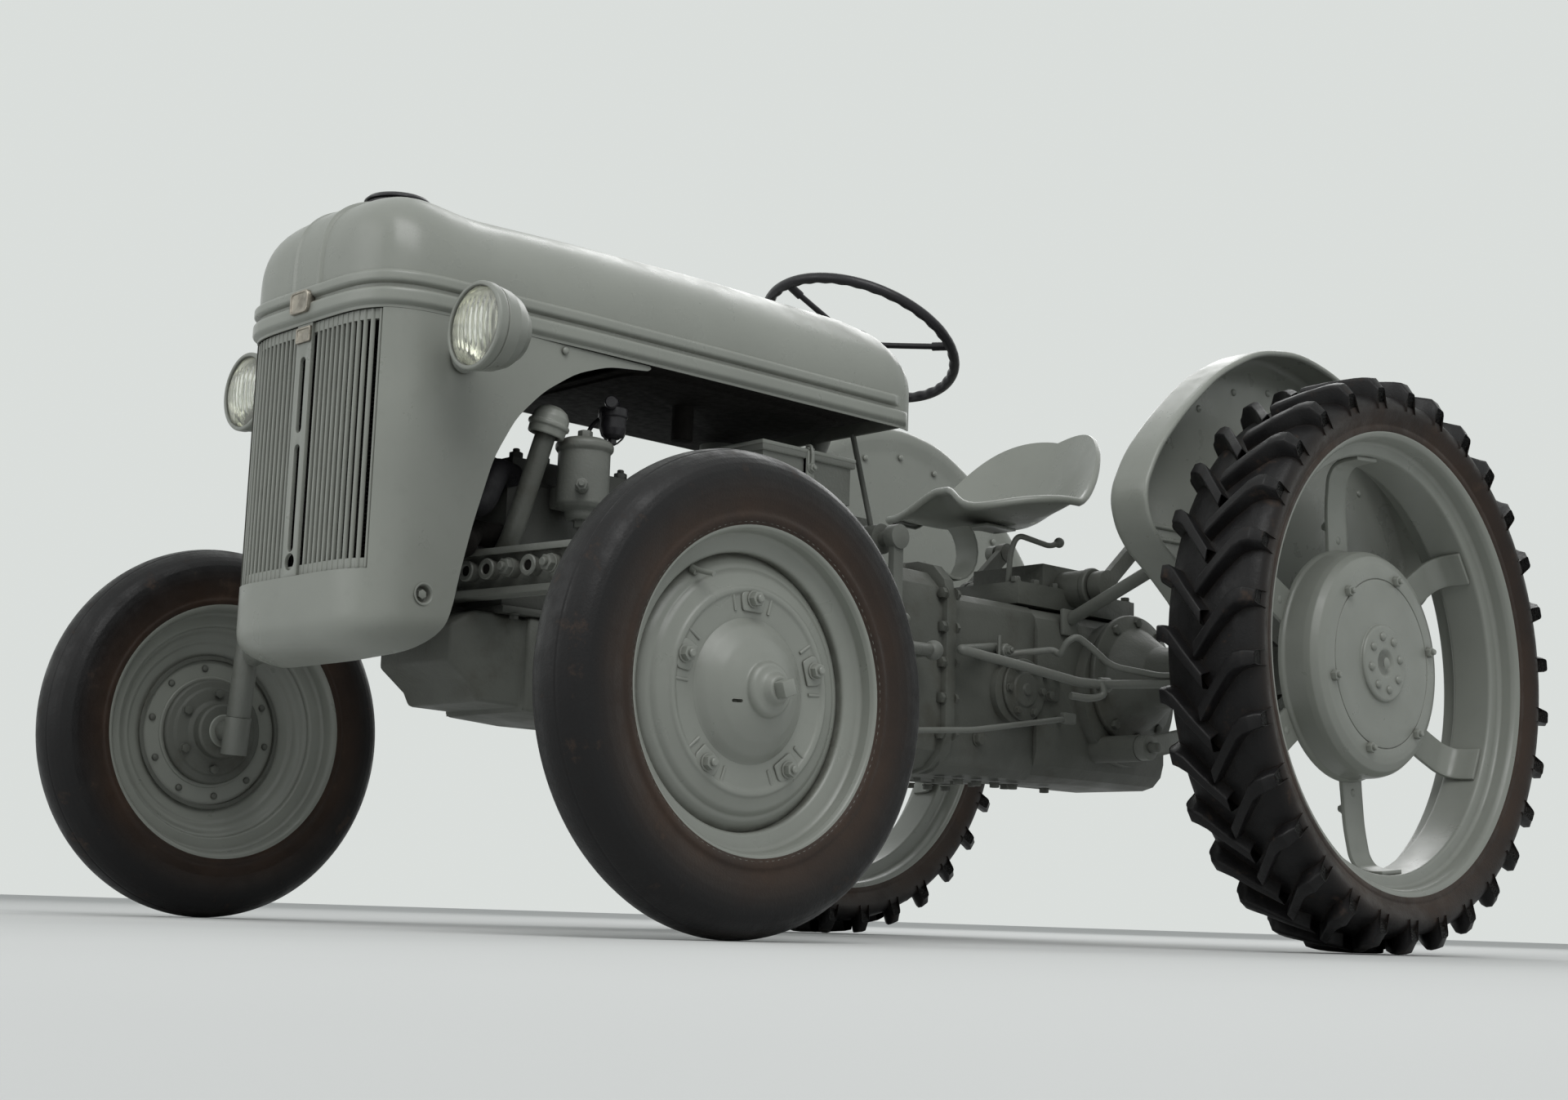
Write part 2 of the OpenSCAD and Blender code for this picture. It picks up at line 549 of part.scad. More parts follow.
// Drive line
joint_x = -1177;
case_half = 150;
case_low = rear_tyre_r - 252;
case_top = rear_tyre_r + 145;
housing_front = rear + 298;
housing_back = rear - 165;
pto_reach = 205;
pto_z = rear_tyre_r - 80;
module case_run(x0, x1, half, low, top, r) {
  translate([x1, 0, 0]) rotate([90, 0, 90]) linear_extrude(x0 - x1)
    translate([0, (low + top) / 2]) offset_square([2 * half, top - low], r);
}
module transmission_case() {
  color(iron_grey) placed() {
    case_run(eng_back - 0.3, joint_x, case_half + 10, 350, bell_top, 90);
    case_run(joint_x + 14, joint_x - 14, case_half + 26, case_low, 806, 90);
    case_run(joint_x - 2, housing_front + 0.3, case_half, case_low, case_top, 40);
    for (x = [joint_x - 30:-60:housing_front + 30]) translate([x, 0, case_low + 2]) cylinder(h = 20, r = 9, center = true, $fn = 6);
    for (s = [-1, 1]) translate([housing_front + 80, s * (case_half + 6), rear_tyre_r - 60]) rotate([90, 0, 0]) cylinder(h = 20, r = 68, center = true, $fn = mid);
  }
}
module rear_housing() {
  color(iron_grey) placed() {
    case_run(housing_front - 0.3, housing_back, case_half + 10, case_low + 10, case_top, 60);
    for (s = [-1, 1]) translate([rear, s * (case_half + 22), rear_tyre_r - 30]) rotate([90, 0, 0])
      cylinder(h = 30, r = 168, center = true, $fn = fine);
    translate([housing_back - 50, 0, pto_z]) rotate([0, 90, 0]) cylinder(h = 104, r = 60, center = true, $fn = mid);
    translate([housing_back - pto_reach, 0, pto_z]) rotate([0, 90, 0]) cylinder(h = pto_reach - 40, d = pto_d, $fn = mid);
    for (s = [-1, 1]) {
      rod([link_pivot[0], s * (case_half - 20), link_pivot[1]], [link_pivot[0], s * (link_y - 13 - seat_gap), link_pivot[1]], 60);
      rod([link_pivot[0], s * (case_half - 20), link_pivot[1]], [link_pivot[0], s * (link_y + 34), link_pivot[1]], 22);
    }
  }
}
trumpet_from = case_half + 37.3;
module axle_trumpets() {
  reach = trumpet_end - trumpet_from;
  color(iron_grey) placed() for (s = [-1, 1]) translate([rear, s * trumpet_from, rear_tyre_r]) across(s) {
    turned([[0, 0], [150, 0], [150, 14], [118, 24], [72, 90], [56, 220], [50, reach - 20], [92, reach - 12],
      [92, reach], [axle_r + run_gap, reach], [axle_r + run_gap, reach - 56], [0, reach - 56]]);
    translate([0, 0, fender_in - 12.3 - trumpet_from]) cylinder(h = 12, r = 84, $fn = mid);
  }
}
shaft_x = rear + 138;
shaft_z = rear_tyre_r + 200;
lift_shaft_r = 20;
lift_boss_half = 190;
module lift_cover() {
  color(iron_grey) placed() difference() {
    union() {
      translate([rear - 82, -135, case_top + seat_gap]) cube([420, 270, 50]);
      translate([rear - 22, -105, case_top + 48]) cube([240, 210, 60]);
      pin_y([shaft_x, 0, shaft_z], 42, 2 * lift_boss_half);
      for (y = [-34, 22]) translate([rear - 147, y, case_top + 10]) cube([70, 12, 100]);
      translate([rear - 92, -34, case_top + 10]) cube([30, 68, 60]);
    }
    pin_y([shaft_x, 0, shaft_z], lift_shaft_r + run_gap, 2 * lift_boss_half + 20);
    pin_y([top_pin[0], 0, top_pin[1]], top_link_bore / 2, 120);
  }
}
top_pin = [rear - 124, rear_tyre_r + 225];

// Lift arms, rods and lower links
link_pivot = [rear + 88, rear_tyre_r - 165];
arm_rise = 42;
arm_y = 215;
arm_tip = [shaft_x - lift_arm_len * cos(arm_rise), arm_y, shaft_z + lift_arm_len * sin(arm_rise)];
link_angle = 12;
link_ball_r = 40;
link_len = (link_pivot[0] - rear + link_tail - link_ball_r) / cos(link_angle);
function along_link(d, y) = [link_pivot[0] - d * cos(link_angle), y, link_pivot[1] + d * sin(link_angle)];
rod_foot_d = 330;
link_bar_w = 14;
rod_eye_w = 24;
module lift_arms() {
  color(iron_grey) placed() {
    pin_y([shaft_x, 0, shaft_z], lift_shaft_r, 2 * arm_y + 30);
    for (s = [-1, 1]) {
      pin_y([shaft_x, s * arm_y, shaft_z], 36, 34);
      translate([shaft_x, s * arm_y, shaft_z]) rotate([90, -180 + arm_rise, 0])
        translate([20, -18, -9]) cube([lift_arm_len - 20, 36, 18]);
      pin_y(arm_tip_at(s), 23, 22);
      pin_y(arm_tip_at(s) + [0, s * 22, 0], 9, 60);
    }
  }
}
function arm_tip_at(s) = [arm_tip[0], s * arm_tip[1], arm_tip[2]];
rod_y = arm_y + 34;
function rod_foot(s) = along_link(rod_foot_d, s * link_y);
link_y = 300;
module lift_rod(side) {
  a = arm_tip_at(side) + [0, side * (rod_y - arm_y), 0];
  b = rod_foot(side) - [0, side * ((link_bar_w + rod_eye_w) / 2 + seat_gap), 0];
  color(iron_grey) placed() {
    difference() {
      pin_y(a, 20, 24);
      pin_y(a, 9.05, 30);
    }
    rod(a + 0.036 * (b - a), a + 0.97 * (b - a), 20);
    rod(a + 0.35 * (b - a), a + 0.7 * (b - a), 34);
    pin_y(b, 20, rod_eye_w);
  }
}
module lower_link(side) {
  color(iron_grey) placed() {
    difference() {
      union() {
        pin_y(along_link(0, side * link_y), 28, 26);
        translate(along_link(0, side * link_y)) rotate([90, 180 + link_angle, 0]) translate([18, -24, -link_bar_w / 2]) cube([link_len - 36, 48, link_bar_w]);
        pin_y(along_link(link_len, side * link_y), link_ball_r, 30);
      }
      pin_y(along_link(0, side * link_y), 11.05, 60);
      pin_y(along_link(link_len, side * link_y), link_bore / 2, 60);
    }
  }
}

// Seat pan on its curled spring
seat_x = -1510;
seat_z = case_top + 195;
seat_hump = 112;
seat_hump_w = 52;
module seat() {
  n = 32;
  rings = 5;
  function pan(r, a, t) = let (x = cos(a), y = sin(a), back = max(0, -x), front = max(0, x),
    hump = seat_hump * pow(r * front, 3) * exp(-pow(seat_w / 2 * r * y / seat_hump_w, 2)))
    [seat_x + seat_len / 2 * r * x * (1 - 0.04 * y * y), seat_w / 2 * r * y * (1 + 0.06 * x),
      seat_z + t + hump + pow(max(0, r - 0.3) / 0.7, 1.9) * (280 * pow(back, 1.6) + 66 * abs(y) - 24)];
  top = [for (i = [1:rings], k = [0:n - 1]) pan(i / rings, k * 360 / n, sheet)];
  low = [for (i = [1:rings], k = [0:n - 1]) pan(i / rings, k * 360 / n, 0)];
  c = 2 * n * rings;
  m = n * rings;
  pts = concat(top, low, [[seat_x, 0, seat_z + sheet], [seat_x, 0, seat_z]]);
  next = [for (k = [0:n - 1]) (k + 1) % n];
  color(hood_grey) placed() polyhedron(pts, concat(
    [for (k = [0:n - 1]) [c, next[k], k]],
    [for (k = [0:n - 1]) [c + 1, m + k, m + next[k]]],
    [for (i = [0:rings - 2], k = [0:n - 1], h = [0, 1]) let (a = i * n + k, b = i * n + next[k])
      h == 0 ? [a, b, b + n] : [a, b + n, a + n]],
    [for (i = [0:rings - 2], k = [0:n - 1], h = [0, 1]) let (a = m + i * n + k, b = m + i * n + next[k])
      h == 0 ? [a, b + n, b] : [a, a + n, b + n]],
    [for (k = [0:n - 1], h = [0, 1]) let (a = (rings - 1) * n + k, b = (rings - 1) * n + next[k])
      h == 0 ? [a, b, b + m] : [a, b + m, a + m]]));
}
spring_r = 66;
spring_x = -1350;
spring_z = case_top + 121;
module seat_spring() {
  color(body_grey) placed() {
    rotate([90, 0, 0]) linear_extrude(64, center = true) {
      polygon(wall(concat([[spring_x + 80, case_top + 0.3 + 6]],
        [for (a = [-60:-20:-240]) [spring_x - spring_r * cos(a + 0) * -1, spring_z + spring_r * sin(a)]],
        [[spring_x - 70, spring_z + spring_r], [spring_x - 100, seat_z - seat_gap], [spring_x - 200, seat_z - seat_gap]]), 6));
    }
    translate([spring_x + 40, -32, case_top + 0.3]) cube([80, 64, 12]);
  }
}

// Fenders: flat inner panel with a curved flange over the tyre
fender_in = 560;
fender_out = 648;
// Front half of a fender's edge, from its foot round the corner to the top
fender_front = [[359, 113], [446, 171], [508, 209], [541, 246], [556, 292], [552, 327], [513, 402],
  [431, 492], [303, 601], [155, 676], [0, 700]];
module fender(side) {
  k = fender_r / 662;
  edge = concat(k * fender_front, [for (i = [len(fender_front) - 2:-1:0]) k * [-fender_front[i][0], fender_front[i][1]]]);
  color(hood_grey) placed() translate([rear, 0, rear_tyre_r]) rotate([90, 0, 0]) {
    translate([0, 0, side > 0 ? -fender_in - sheet : fender_in]) linear_extrude(sheet) difference() {
      polygon(concat(edge, [[-300, 60], [-110, -90], [110, -90], [300, 60]]));
      circle(r = 66, $fn = mid);
    }
    translate([0, 0, side > 0 ? -fender_out : fender_in]) linear_extrude(fender_out - fender_in)
      polygon(wall(edge, sheet));
  }
}

// Steering gear, column and dash
column_top = [-1054, 0, 1293];
column_drop = 60;
function down_column(d) = column_top + d * [sin(column_tilt), 0, -cos(column_tilt)];
pitman_z = 824;
pitman_x = -985;
dash_x = -925;
// Cross-section of the hood at x, drawn inset by a gap
function hood_half(x) = cowl_half * lookup(x + hood_back, [for (q = hood_stations) [q[0], q[1]]]);
function hood_crown(x) = hood_top - lookup(x + hood_back, [for (q = hood_stations) [q[0], q[2]]]);
module hood_section(x, inset, low) {
  half = hood_half(x) - inset;
  rise = hood_crown(x) - inset - wall_top;
  right = [for (a = [10:16:90]) [half * pow(cos(a), 2 / hood_power), wall_top + rise * pow(sin(a), 2 / hood_power)]];
  polygon(concat([[half, low]], [[half, wall_top]], right,
    [for (i = [len(right) - 2:-1:0]) [-right[i][0], right[i][1]]], [[-half, wall_top], [-half, low]]));
}
module steering_box() {
  color(iron_grey) placed() {
    translate([-1030, -70, bell_top + 0.3]) cube([175, 140, 90]);
    pin_y([pitman_x, 0, pitman_z], 32, 300);
    pin_y([pitman_x, 0, pitman_z], 15, 2 * (pitman_y - 13.3));
    rod(down_column(column_drop), down_column(462), 44);
    translate([dash_x, 0, 0]) rotate([90, 0, 90]) linear_extrude(8) hood_section(dash_x, sheet + 0.6, hood_low);
    for (s = [-1, 1]) rod([dash_x + 6, s * 120, 1040], [pitman_x, s * 120, 840], 12);
  }
}
module steering_wheel() {
  r = wheel_dia / 2 - 12;
  color(trim_black) placed() translate(column_top) rotate([0, -column_tilt, 0]) {
    rotate_extrude($fn = fine) translate([r, 0]) circle(r = 12, $fn = 24);
    for (a = [45, 165, 285]) rotate(a) translate([10, 0, -10]) rotate([0, 84, 0]) cylinder(h = r - 6, r = 7, $fn = 24);
    translate([0, 0, seat_gap - column_drop]) cylinder(h = column_drop - 2, r = 16, $fn = mid);
    translate([0, 0, -24]) cylinder(h = 30, r = 26, $fn = mid);
  }
}
pitman_len = 175;
pitman_y = 190;
module pitman(side) {
  color(iron_grey) placed() {
    pin_y([pitman_x, side * pitman_y, pitman_z], 26, 26);
    translate([pitman_x - 14, side * pitman_y - 8, pitman_z - pitman_len]) cube([28, 16, pitman_len]);
    pin_y([pitman_x, side * pitman_y, pitman_z - pitman_len], 18, 20);
  }
}
drag_ball_r = 15;
function drag_front(side) = arm_tip(side) + [0, 0, 10.3 + drag_ball_r];
module drag_link(side) {
  a = drag_front(side);
  b = [pitman_x, side * (pitman_y + 10.3 + drag_ball_r), pitman_z - pitman_len];
  color(iron_grey) placed() {
    rod(a, b, 22);
    for (end = [a, b]) translate(end) sphere(r = drag_ball_r, $fn = mid);
  }
}
module foot_controls() {
  bell = case_half + 10.3;
  color(iron_grey) placed() for (s = [-1, 1]) {
    swept_rod([[-1090, s * bell, 560], [-1092, s * 282, 563], [rear + 338, s * 330, 520],
      [rear + 218, s * 240, 520], [rear + 218, s * bell, 520]], 22);
    swept_rod([[rear + 238, s * bell, 610], [rear + 238, s * 240, 613], [rear + 308, s * 300, 632],
      [rear + 428, s * 300, 622], [-1170, s * 340, 604]], 16);
    translate([-1170, s * 340, 612]) cube([60, 70, 8], center = true);
  }
}

engine_block();
oil_pan();
exhaust();
air_cleaner();
radiator();
fuel_tank();
battery_box();
oil_filter();
breather();
hood();
filler_lid();
grille();
side_panels();
nose_pan();
headlamps();
lamp_lenses();
front_axle();
radius_rods();
transmission_case();
rear_housing();
axle_trumpets();
lift_cover();
seat_spring();
seat();
fender(1);  // fender_left
fender(-1);  // fender_right
steering_box();
foot_controls();
knuckle(1);  // knuckle_left
knuckle(-1);  // knuckle_right
front_wheel(1);  // front_wheel_left
front_wheel(-1);  // front_wheel_right
front_tyre(1);  // front_tyre_left
front_tyre(-1);  // front_tyre_right
rear_rim(1);  // rear_rim_left
rear_rim(-1);  // rear_rim_right
rear_dish(1);  // rear_dish_left
rear_dish(-1);  // rear_dish_right
rear_tyre(1);  // rear_tyre_left
rear_tyre(-1);  // rear_tyre_right
steering_wheel();
pitman(1);  // pitman_left
pitman(-1);  // pitman_right
drag_link(1);  // drag_link_left
drag_link(-1);  // drag_link_right
lift_arms();
lift_rod(1);  // lift_rod_left
lift_rod(-1);  // lift_rod_right
lower_link(1);  // lower_link_left
lower_link(-1);  // lower_link_right
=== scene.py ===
"""Vintage row-crop tractor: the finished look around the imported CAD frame.

Pieces are modelled in millimetres about their own place and settled into the frame in metres.
"""

import json
import math

import bmesh
import bpy
from bpy.props import FloatProperty, FloatVectorProperty, IntProperty, PointerProperty
from mathutils import Euler, Matrix, Vector


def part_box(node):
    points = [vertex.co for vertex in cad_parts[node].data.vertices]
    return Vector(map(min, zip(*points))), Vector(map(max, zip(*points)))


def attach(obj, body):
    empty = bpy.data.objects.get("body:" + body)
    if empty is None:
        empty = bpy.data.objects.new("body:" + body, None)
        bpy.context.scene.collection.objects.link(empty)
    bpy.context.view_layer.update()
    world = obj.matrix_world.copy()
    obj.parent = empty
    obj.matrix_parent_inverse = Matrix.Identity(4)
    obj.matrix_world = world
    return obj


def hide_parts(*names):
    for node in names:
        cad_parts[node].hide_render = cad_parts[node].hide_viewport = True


bl_info = {
    "name": "Vintage Tractor",
    "version": (1, 0, 0),
    "blender": (4, 5, 0),
    "location": "View3D > Sidebar > Tractor",
    "description": "Models the sheet metal, wheels and trim of a vintage tractor around its CAD frame",
    "category": "Object",
}

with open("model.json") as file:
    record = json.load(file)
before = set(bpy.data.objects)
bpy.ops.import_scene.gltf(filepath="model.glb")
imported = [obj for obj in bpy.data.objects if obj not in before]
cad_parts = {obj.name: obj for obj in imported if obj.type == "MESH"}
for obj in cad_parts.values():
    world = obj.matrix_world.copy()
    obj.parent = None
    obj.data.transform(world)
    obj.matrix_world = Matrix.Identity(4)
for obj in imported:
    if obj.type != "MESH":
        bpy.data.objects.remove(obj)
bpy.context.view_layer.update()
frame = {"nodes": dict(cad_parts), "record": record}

MM = 0.001
UP, DOWN = (0, 0, 1), (0, 0, -1)


def middle(node):
    low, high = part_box(node)
    return (low + high) / 2


FRONT_X = middle("front_tyre_left").x
REAR_X = (middle("rear_tyre_left").x - FRONT_X) / MM
FRONT_Z = middle("front_tyre_left").z / MM
REAR_Z = middle("rear_dish_left").z / MM
FRONT_Y = middle("front_tyre_left").y / MM
REAR_Y = middle("rear_tyre_left").y / MM
RIM_R = (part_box("rear_rim_left")[1].z / MM - REAR_Z)
SIDES = (("left", 1), ("right", -1))


# Places and selections


def spot(x=0.0, y=0.0, z=0.0, turn=(0.0, 0.0, 0.0)):
    """A place in millimetres from the front axle, which also brings millimetres to metres."""
    place = Matrix.Translation((FRONT_X + x * MM, y * MM, z * MM))
    return place @ Euler(turn).to_matrix().to_4x4() @ Matrix.Scale(MM, 4)


def local(point, along=UP):
    """A place and direction in the millimetres of the piece being made."""
    turn = Vector(UP).rotation_difference(Vector(along)).to_matrix().to_4x4()
    return Matrix.Translation(point) @ turn


def standing(x, z=0.0):
    """Stands a flat piece up across the tractor, with its own z looking forward."""
    return Matrix(((0, 0, 1, x), (1, 0, 0, 0), (0, 1, 0, z), (0, 0, 0, 1)))


def turns_of(count, start=0.0):
    """Even turns about the z axis; start is an angle in degrees."""
    return [Matrix.Rotation(math.radians(start + i * 360 / count), 4, "Z") for i in range(count)]


def ring_of(count, radius, height, start=0.0):
    """Places around the z axis; start is an angle in degrees."""
    return [turn @ Matrix.Translation((radius, 0, height)) for turn in turns_of(count, start)]


def hub(x, y, z, side):
    """The frame of a wheel: its own z runs out of the tractor."""
    return spot(x, side * y, z, (-side * math.pi / 2, 0, 0))


def clear():
    if bpy.context.mode != "OBJECT":
        bpy.ops.object.mode_set(mode="OBJECT")
    bpy.ops.object.select_all(action="DESELECT")


def hold(*pieces):
    clear()
    for piece in pieces:
        piece.select_set(True)
    bpy.context.view_layer.objects.active = pieces[0]


def fresh(name):
    piece = bpy.context.object
    piece.name = piece.data.name = name
    return piece


def open_up(piece, kind="FACE", select="DESELECT"):
    hold(piece)
    bpy.ops.object.mode_set(mode="EDIT")
    bpy.ops.mesh.select_mode(type=kind)
    bpy.ops.mesh.select_all(action=select)


def pick(piece, test):
    """Selects the faces whose middle and normal pass the test."""
    shape = bmesh.from_edit_mesh(piece.data)
    for face in shape.faces:
        face.select_set(bool(test(face.calc_center_median(), face.normal)))
    bmesh.update_edit_mesh(piece.data)


def flip(piece):
    """Turns the front of every face to its back."""
    open_up(piece, select="SELECT")
    bpy.ops.mesh.flip_normals()
    bpy.ops.object.mode_set(mode="OBJECT")


def close_up(merge=0.0, outward=False):
    bpy.ops.mesh.select_all(action="SELECT")
    if merge:
        bpy.ops.mesh.remove_doubles(threshold=merge)
    if outward:
        bpy.ops.mesh.normals_make_consistent(inside=False)
    bpy.ops.object.mode_set(mode="OBJECT")


def modify(piece, kind, **settings):
    hold(piece)
    change = piece.modifiers.new(kind.title(), kind)
    for key, value in settings.items():
        setattr(change, key, value)
    bpy.ops.object.modifier_apply(modifier=change.name)
    return piece


def rounded(piece, width, segments=2, angle=35):
    return modify(piece, "BEVEL", width=width, segments=segments, limit_method="ANGLE",
                  angle_limit=math.radians(angle))


def apply_place():
    bpy.ops.object.transform_apply(location=True, rotation=True, scale=True)


def settle(piece, place):
    """Moves a piece by the place, in its mesh."""
    hold(piece)
    piece.matrix_world = place @ piece.matrix_world
    apply_place()
    return piece


def joined(*pieces):
    """The pieces as one, under the first one's name."""
    hold(*pieces)
    if len(pieces) > 1:
        bpy.ops.object.join()
    apply_place()
    return pieces[0]


def copy_of(piece, place=None):
    twin = piece.copy()
    twin.data = piece.data.copy()
    bpy.context.collection.objects.link(twin)
    if place is not None:
        twin.matrix_world = place @ twin.matrix_world
    return twin


def repeated(model, places):
    """The model at each place, as one piece."""
    made = [copy_of(model, place) for place in places]
    bpy.data.objects.remove(model)
    return joined(*made)


def mirrored(piece):
    """The same piece on the other side of the tractor."""
    twin = copy_of(piece)
    settle(twin, Matrix.Scale(-1, 4, (0, 1, 0)))
    if inside_out(twin):
        flip(twin)
    return twin


def inside_out(piece):
    shape = bmesh.new()
    shape.from_mesh(piece.data)
    volume = shape.calc_volume(signed=True)
    shape.free()
    return volume < 0


SMOOTH = 35  # faces that meet at less than these degrees are shaded as one


def finished(piece, name, body, coat, instead=(), place=None, smooth=SMOOTH):
    """Gives a piece its place, name, finish and body."""
    if place is not None:
        settle(piece, place)
    hold(piece)
    apply_place()
    bpy.ops.object.shade_smooth_by_angle(angle=math.radians(smooth))
    piece.name = piece.data.name = name
    piece.data.materials.clear()
    piece.data.materials.append(FINISHES[coat])
    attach(piece, body)
    if instead:
        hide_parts(*instead)
    return piece


def fixed(piece, name, coat, slot, *instead, place=None, smooth=SMOOTH):
    """Finishes a piece of the chassis, modelled from the front axle unless a place is given."""
    place = spot() if place is None else place
    return finished(piece, name, "chassis", coat, instead, place, smooth)


# Shapes


def eased(points, radius, steps=4):
    """The same line with its corners rounded off."""
    line = [Vector(p) for p in points]
    out = [line[0]]
    for before, corner, after in zip(line, line[1:], line[2:]):
        reach = min(radius, (before - corner).length * 0.48, (after - corner).length * 0.48)
        start = corner + (before - corner).normalized() * reach
        end = corner + (after - corner).normalized() * reach
        for i in range(steps + 1):
            t = i / steps
            out.append(start * (1 - t) ** 2 + corner * 2 * t * (1 - t) + end * t * t)
    return out + [line[-1]]


def traced(name, points):
    """A chain of vertices through the points, left in edit mode with all of it selected."""
    clear()
    bpy.ops.mesh.primitive_plane_add(size=1)
    piece = fresh(name)
    bpy.ops.object.mode_set(mode="EDIT")
    bpy.ops.mesh.select_mode(type="VERT")
    bpy.ops.mesh.select_all(action="SELECT")
    bpy.ops.mesh.merge(type="CENTER")
    line = [Vector(p).to_3d() for p in points]
    bpy.ops.transform.translate(value=line[0])
    for a, b in zip(line, line[1:]):
        bpy.ops.mesh.extrude_vertices_move(TRANSFORM_OT_translate={"value": b - a})
    bpy.ops.mesh.select_all(action="SELECT")
    return piece


def turned(name, outline, steps=96, soft=0.0):
    """A shape turned around z from (radius, along) pairs; a closed outline ends where it starts."""
    line = eased(outline, soft) if soft else outline
    piece = traced(name, [(p[0], 0, p[1]) for p in line])
    bpy.ops.mesh.spin(steps=steps, angle=math.tau, center=(0, 0, 0), axis=(0, 0, 1))
    close_up(0.01, True)
    if inside_out(piece):
        flip(piece)
    return piece


def slab(name, outline, depth, edge=0.0):
    """A flat plate from its outline in x and y, as thick as depth."""
    piece = traced(name, [(p[0], p[1], 0) for p in outline])
    bpy.ops.mesh.edge_face_add()
    bpy.ops.mesh.extrude_region_move(TRANSFORM_OT_translate={"value": (0, 0, depth)})
    close_up(0.01, True)
    return rounded(piece, edge) if edge else piece


def block(name, size, at=(0, 0, 0), edge=1.5, turn=(0, 0, 0)):
    clear()
    bpy.ops.mesh.primitive_cube_add(size=1, location=at, rotation=turn, scale=size)
    piece = fresh(name)
    apply_place()
    return rounded(piece, edge) if edge else piece


def drum(name, radius, length, place=None, chamfer=1.5, steps=32):
    c = min(chamfer, radius / 3, length / 3)
    piece = turned(name, [(0, 0), (radius - c, 0), (radius, c), (radius, length - c),
                          (radius - c, length), (0, length)], steps)
    return settle(piece, place) if place is not None else piece


def tube(name, points, radius, bend=0.0, sides=6):
    """A round rod or pipe along the points, with rounded bends and closed ends."""
    line = eased(points, bend, 7) if bend else [Vector(p) for p in points]
    clear()
    bpy.ops.curve.primitive_bezier_curve_add()
    piece = fresh(name)
    path = piece.data
    path.splines.clear()
    run = path.splines.new("POLY")
    run.points.add(len(line) - 1)
    for vertex, place in zip(run.points, line):
        vertex.co = (*place, 1)
    path.dimensions = "3D"
    path.bevel_depth = radius
    path.bevel_resolution = sides
    path.use_fill_caps = True
    bpy.ops.object.convert(target="MESH")
    piece = bpy.context.object
    open_up(piece)
    close_up(0.001, True)
    return piece


def skin(name, columns, thickness=0.0, reverse=False):
    """A sheet through columns of points, given its thickness inwards."""
    across, up = len(columns) - 1, len(columns[0]) - 1
    clear()
    bpy.ops.mesh.primitive_grid_add(size=1, x_subdivisions=across, y_subdivisions=up)
    piece = fresh(name)
    for vertex in piece.data.vertices:
        i = round((vertex.co.x + 0.5) * across)
        j = round((vertex.co.y + 0.5) * up)
        vertex.co = columns[i][j]
    open_up(piece, select="SELECT")
    bpy.ops.mesh.remove_doubles(threshold=0.02)
    if reverse:
        bpy.ops.mesh.flip_normals()
    bpy.ops.object.mode_set(mode="OBJECT")
    if thickness:
        modify(piece, "SOLIDIFY", thickness=thickness, offset=-1, use_even_offset=False)
    return piece


def both_halves(half):
    """The columns of the left side, then those of the right side back from the middle."""
    other = [[Vector((p.x, -p.y, p.z)) for p in column] for column in reversed(half[:-1])]
    return half + other


def cut(piece, tool, keep="DIFFERENCE"):
    modify(piece, "BOOLEAN", object=tool, operation=keep, solver="EXACT")
    bpy.data.objects.remove(tool)
    return piece


def hex_bolt(across=19.0, height=12.0, washer=True, tip=0.0):
    """A hexagon head with its washer, and the end of its stud if it is a nut."""
    clear()
    bpy.ops.mesh.primitive_cylinder_add(vertices=6, radius=across / math.sqrt(3), depth=height,
                                        location=(0, 0, height / 2))
    head = fresh("bolt")
    open_up(head)
    pick(head, lambda middle, normal: normal.z > 0.9)
    bpy.ops.mesh.bevel(offset=across * 0.08, segments=2)
    close_up()
    parts = [head]
    if washer:
        parts.append(turned("washer", [(0, -0.4), (across * 0.66, -0.4), (across * 0.66, 1.8),
                                       (across * 0.6, 2.4), (0, 2.4)], 20))
    if tip:
        parts.append(turned("stud", [(0, height - 1), (across * 0.3, height - 1),
                                     (across * 0.3, height + tip - 1.5),
                                     (across * 0.22, height + tip), (0, height + tip)], 16))
    return joined(*parts)


def nut_at(point, along, *size):
    """A hexagon head at a point, standing along the direction."""
    return settle(hex_bolt(*size), local(point, along))


def round_head(radius, height):
    """A domed rivet or screw head."""
    arc = [(radius * math.cos(a), height * math.sin(a))
           for a in [i * math.pi / 12 for i in range(7)]]
    return turned("rivet", [(0, -0.5), (radius, -0.5)] + arc, 20)


def softened(node, body, coat, width):
    """The CAD node's own shape with its edges eased, as a casting or pressing has them."""
    piece = copy_of(frame["nodes"][node])
    piece.parent = None
    piece.matrix_world = Matrix.Identity(4)
    piece.hide_render = piece.hide_viewport = False
    open_up(piece, select="SELECT")
    bpy.ops.mesh.remove_doubles(threshold=0.00005)
    bpy.ops.mesh.dissolve_limited(angle_limit=math.radians(1.5))
    bpy.ops.object.mode_set(mode="OBJECT")
    rounded(piece, width * MM, 2, 28)
    return finished(piece, node + "_shape", body, coat, (node,), smooth=32)


# Finishes

FINISHES = {}


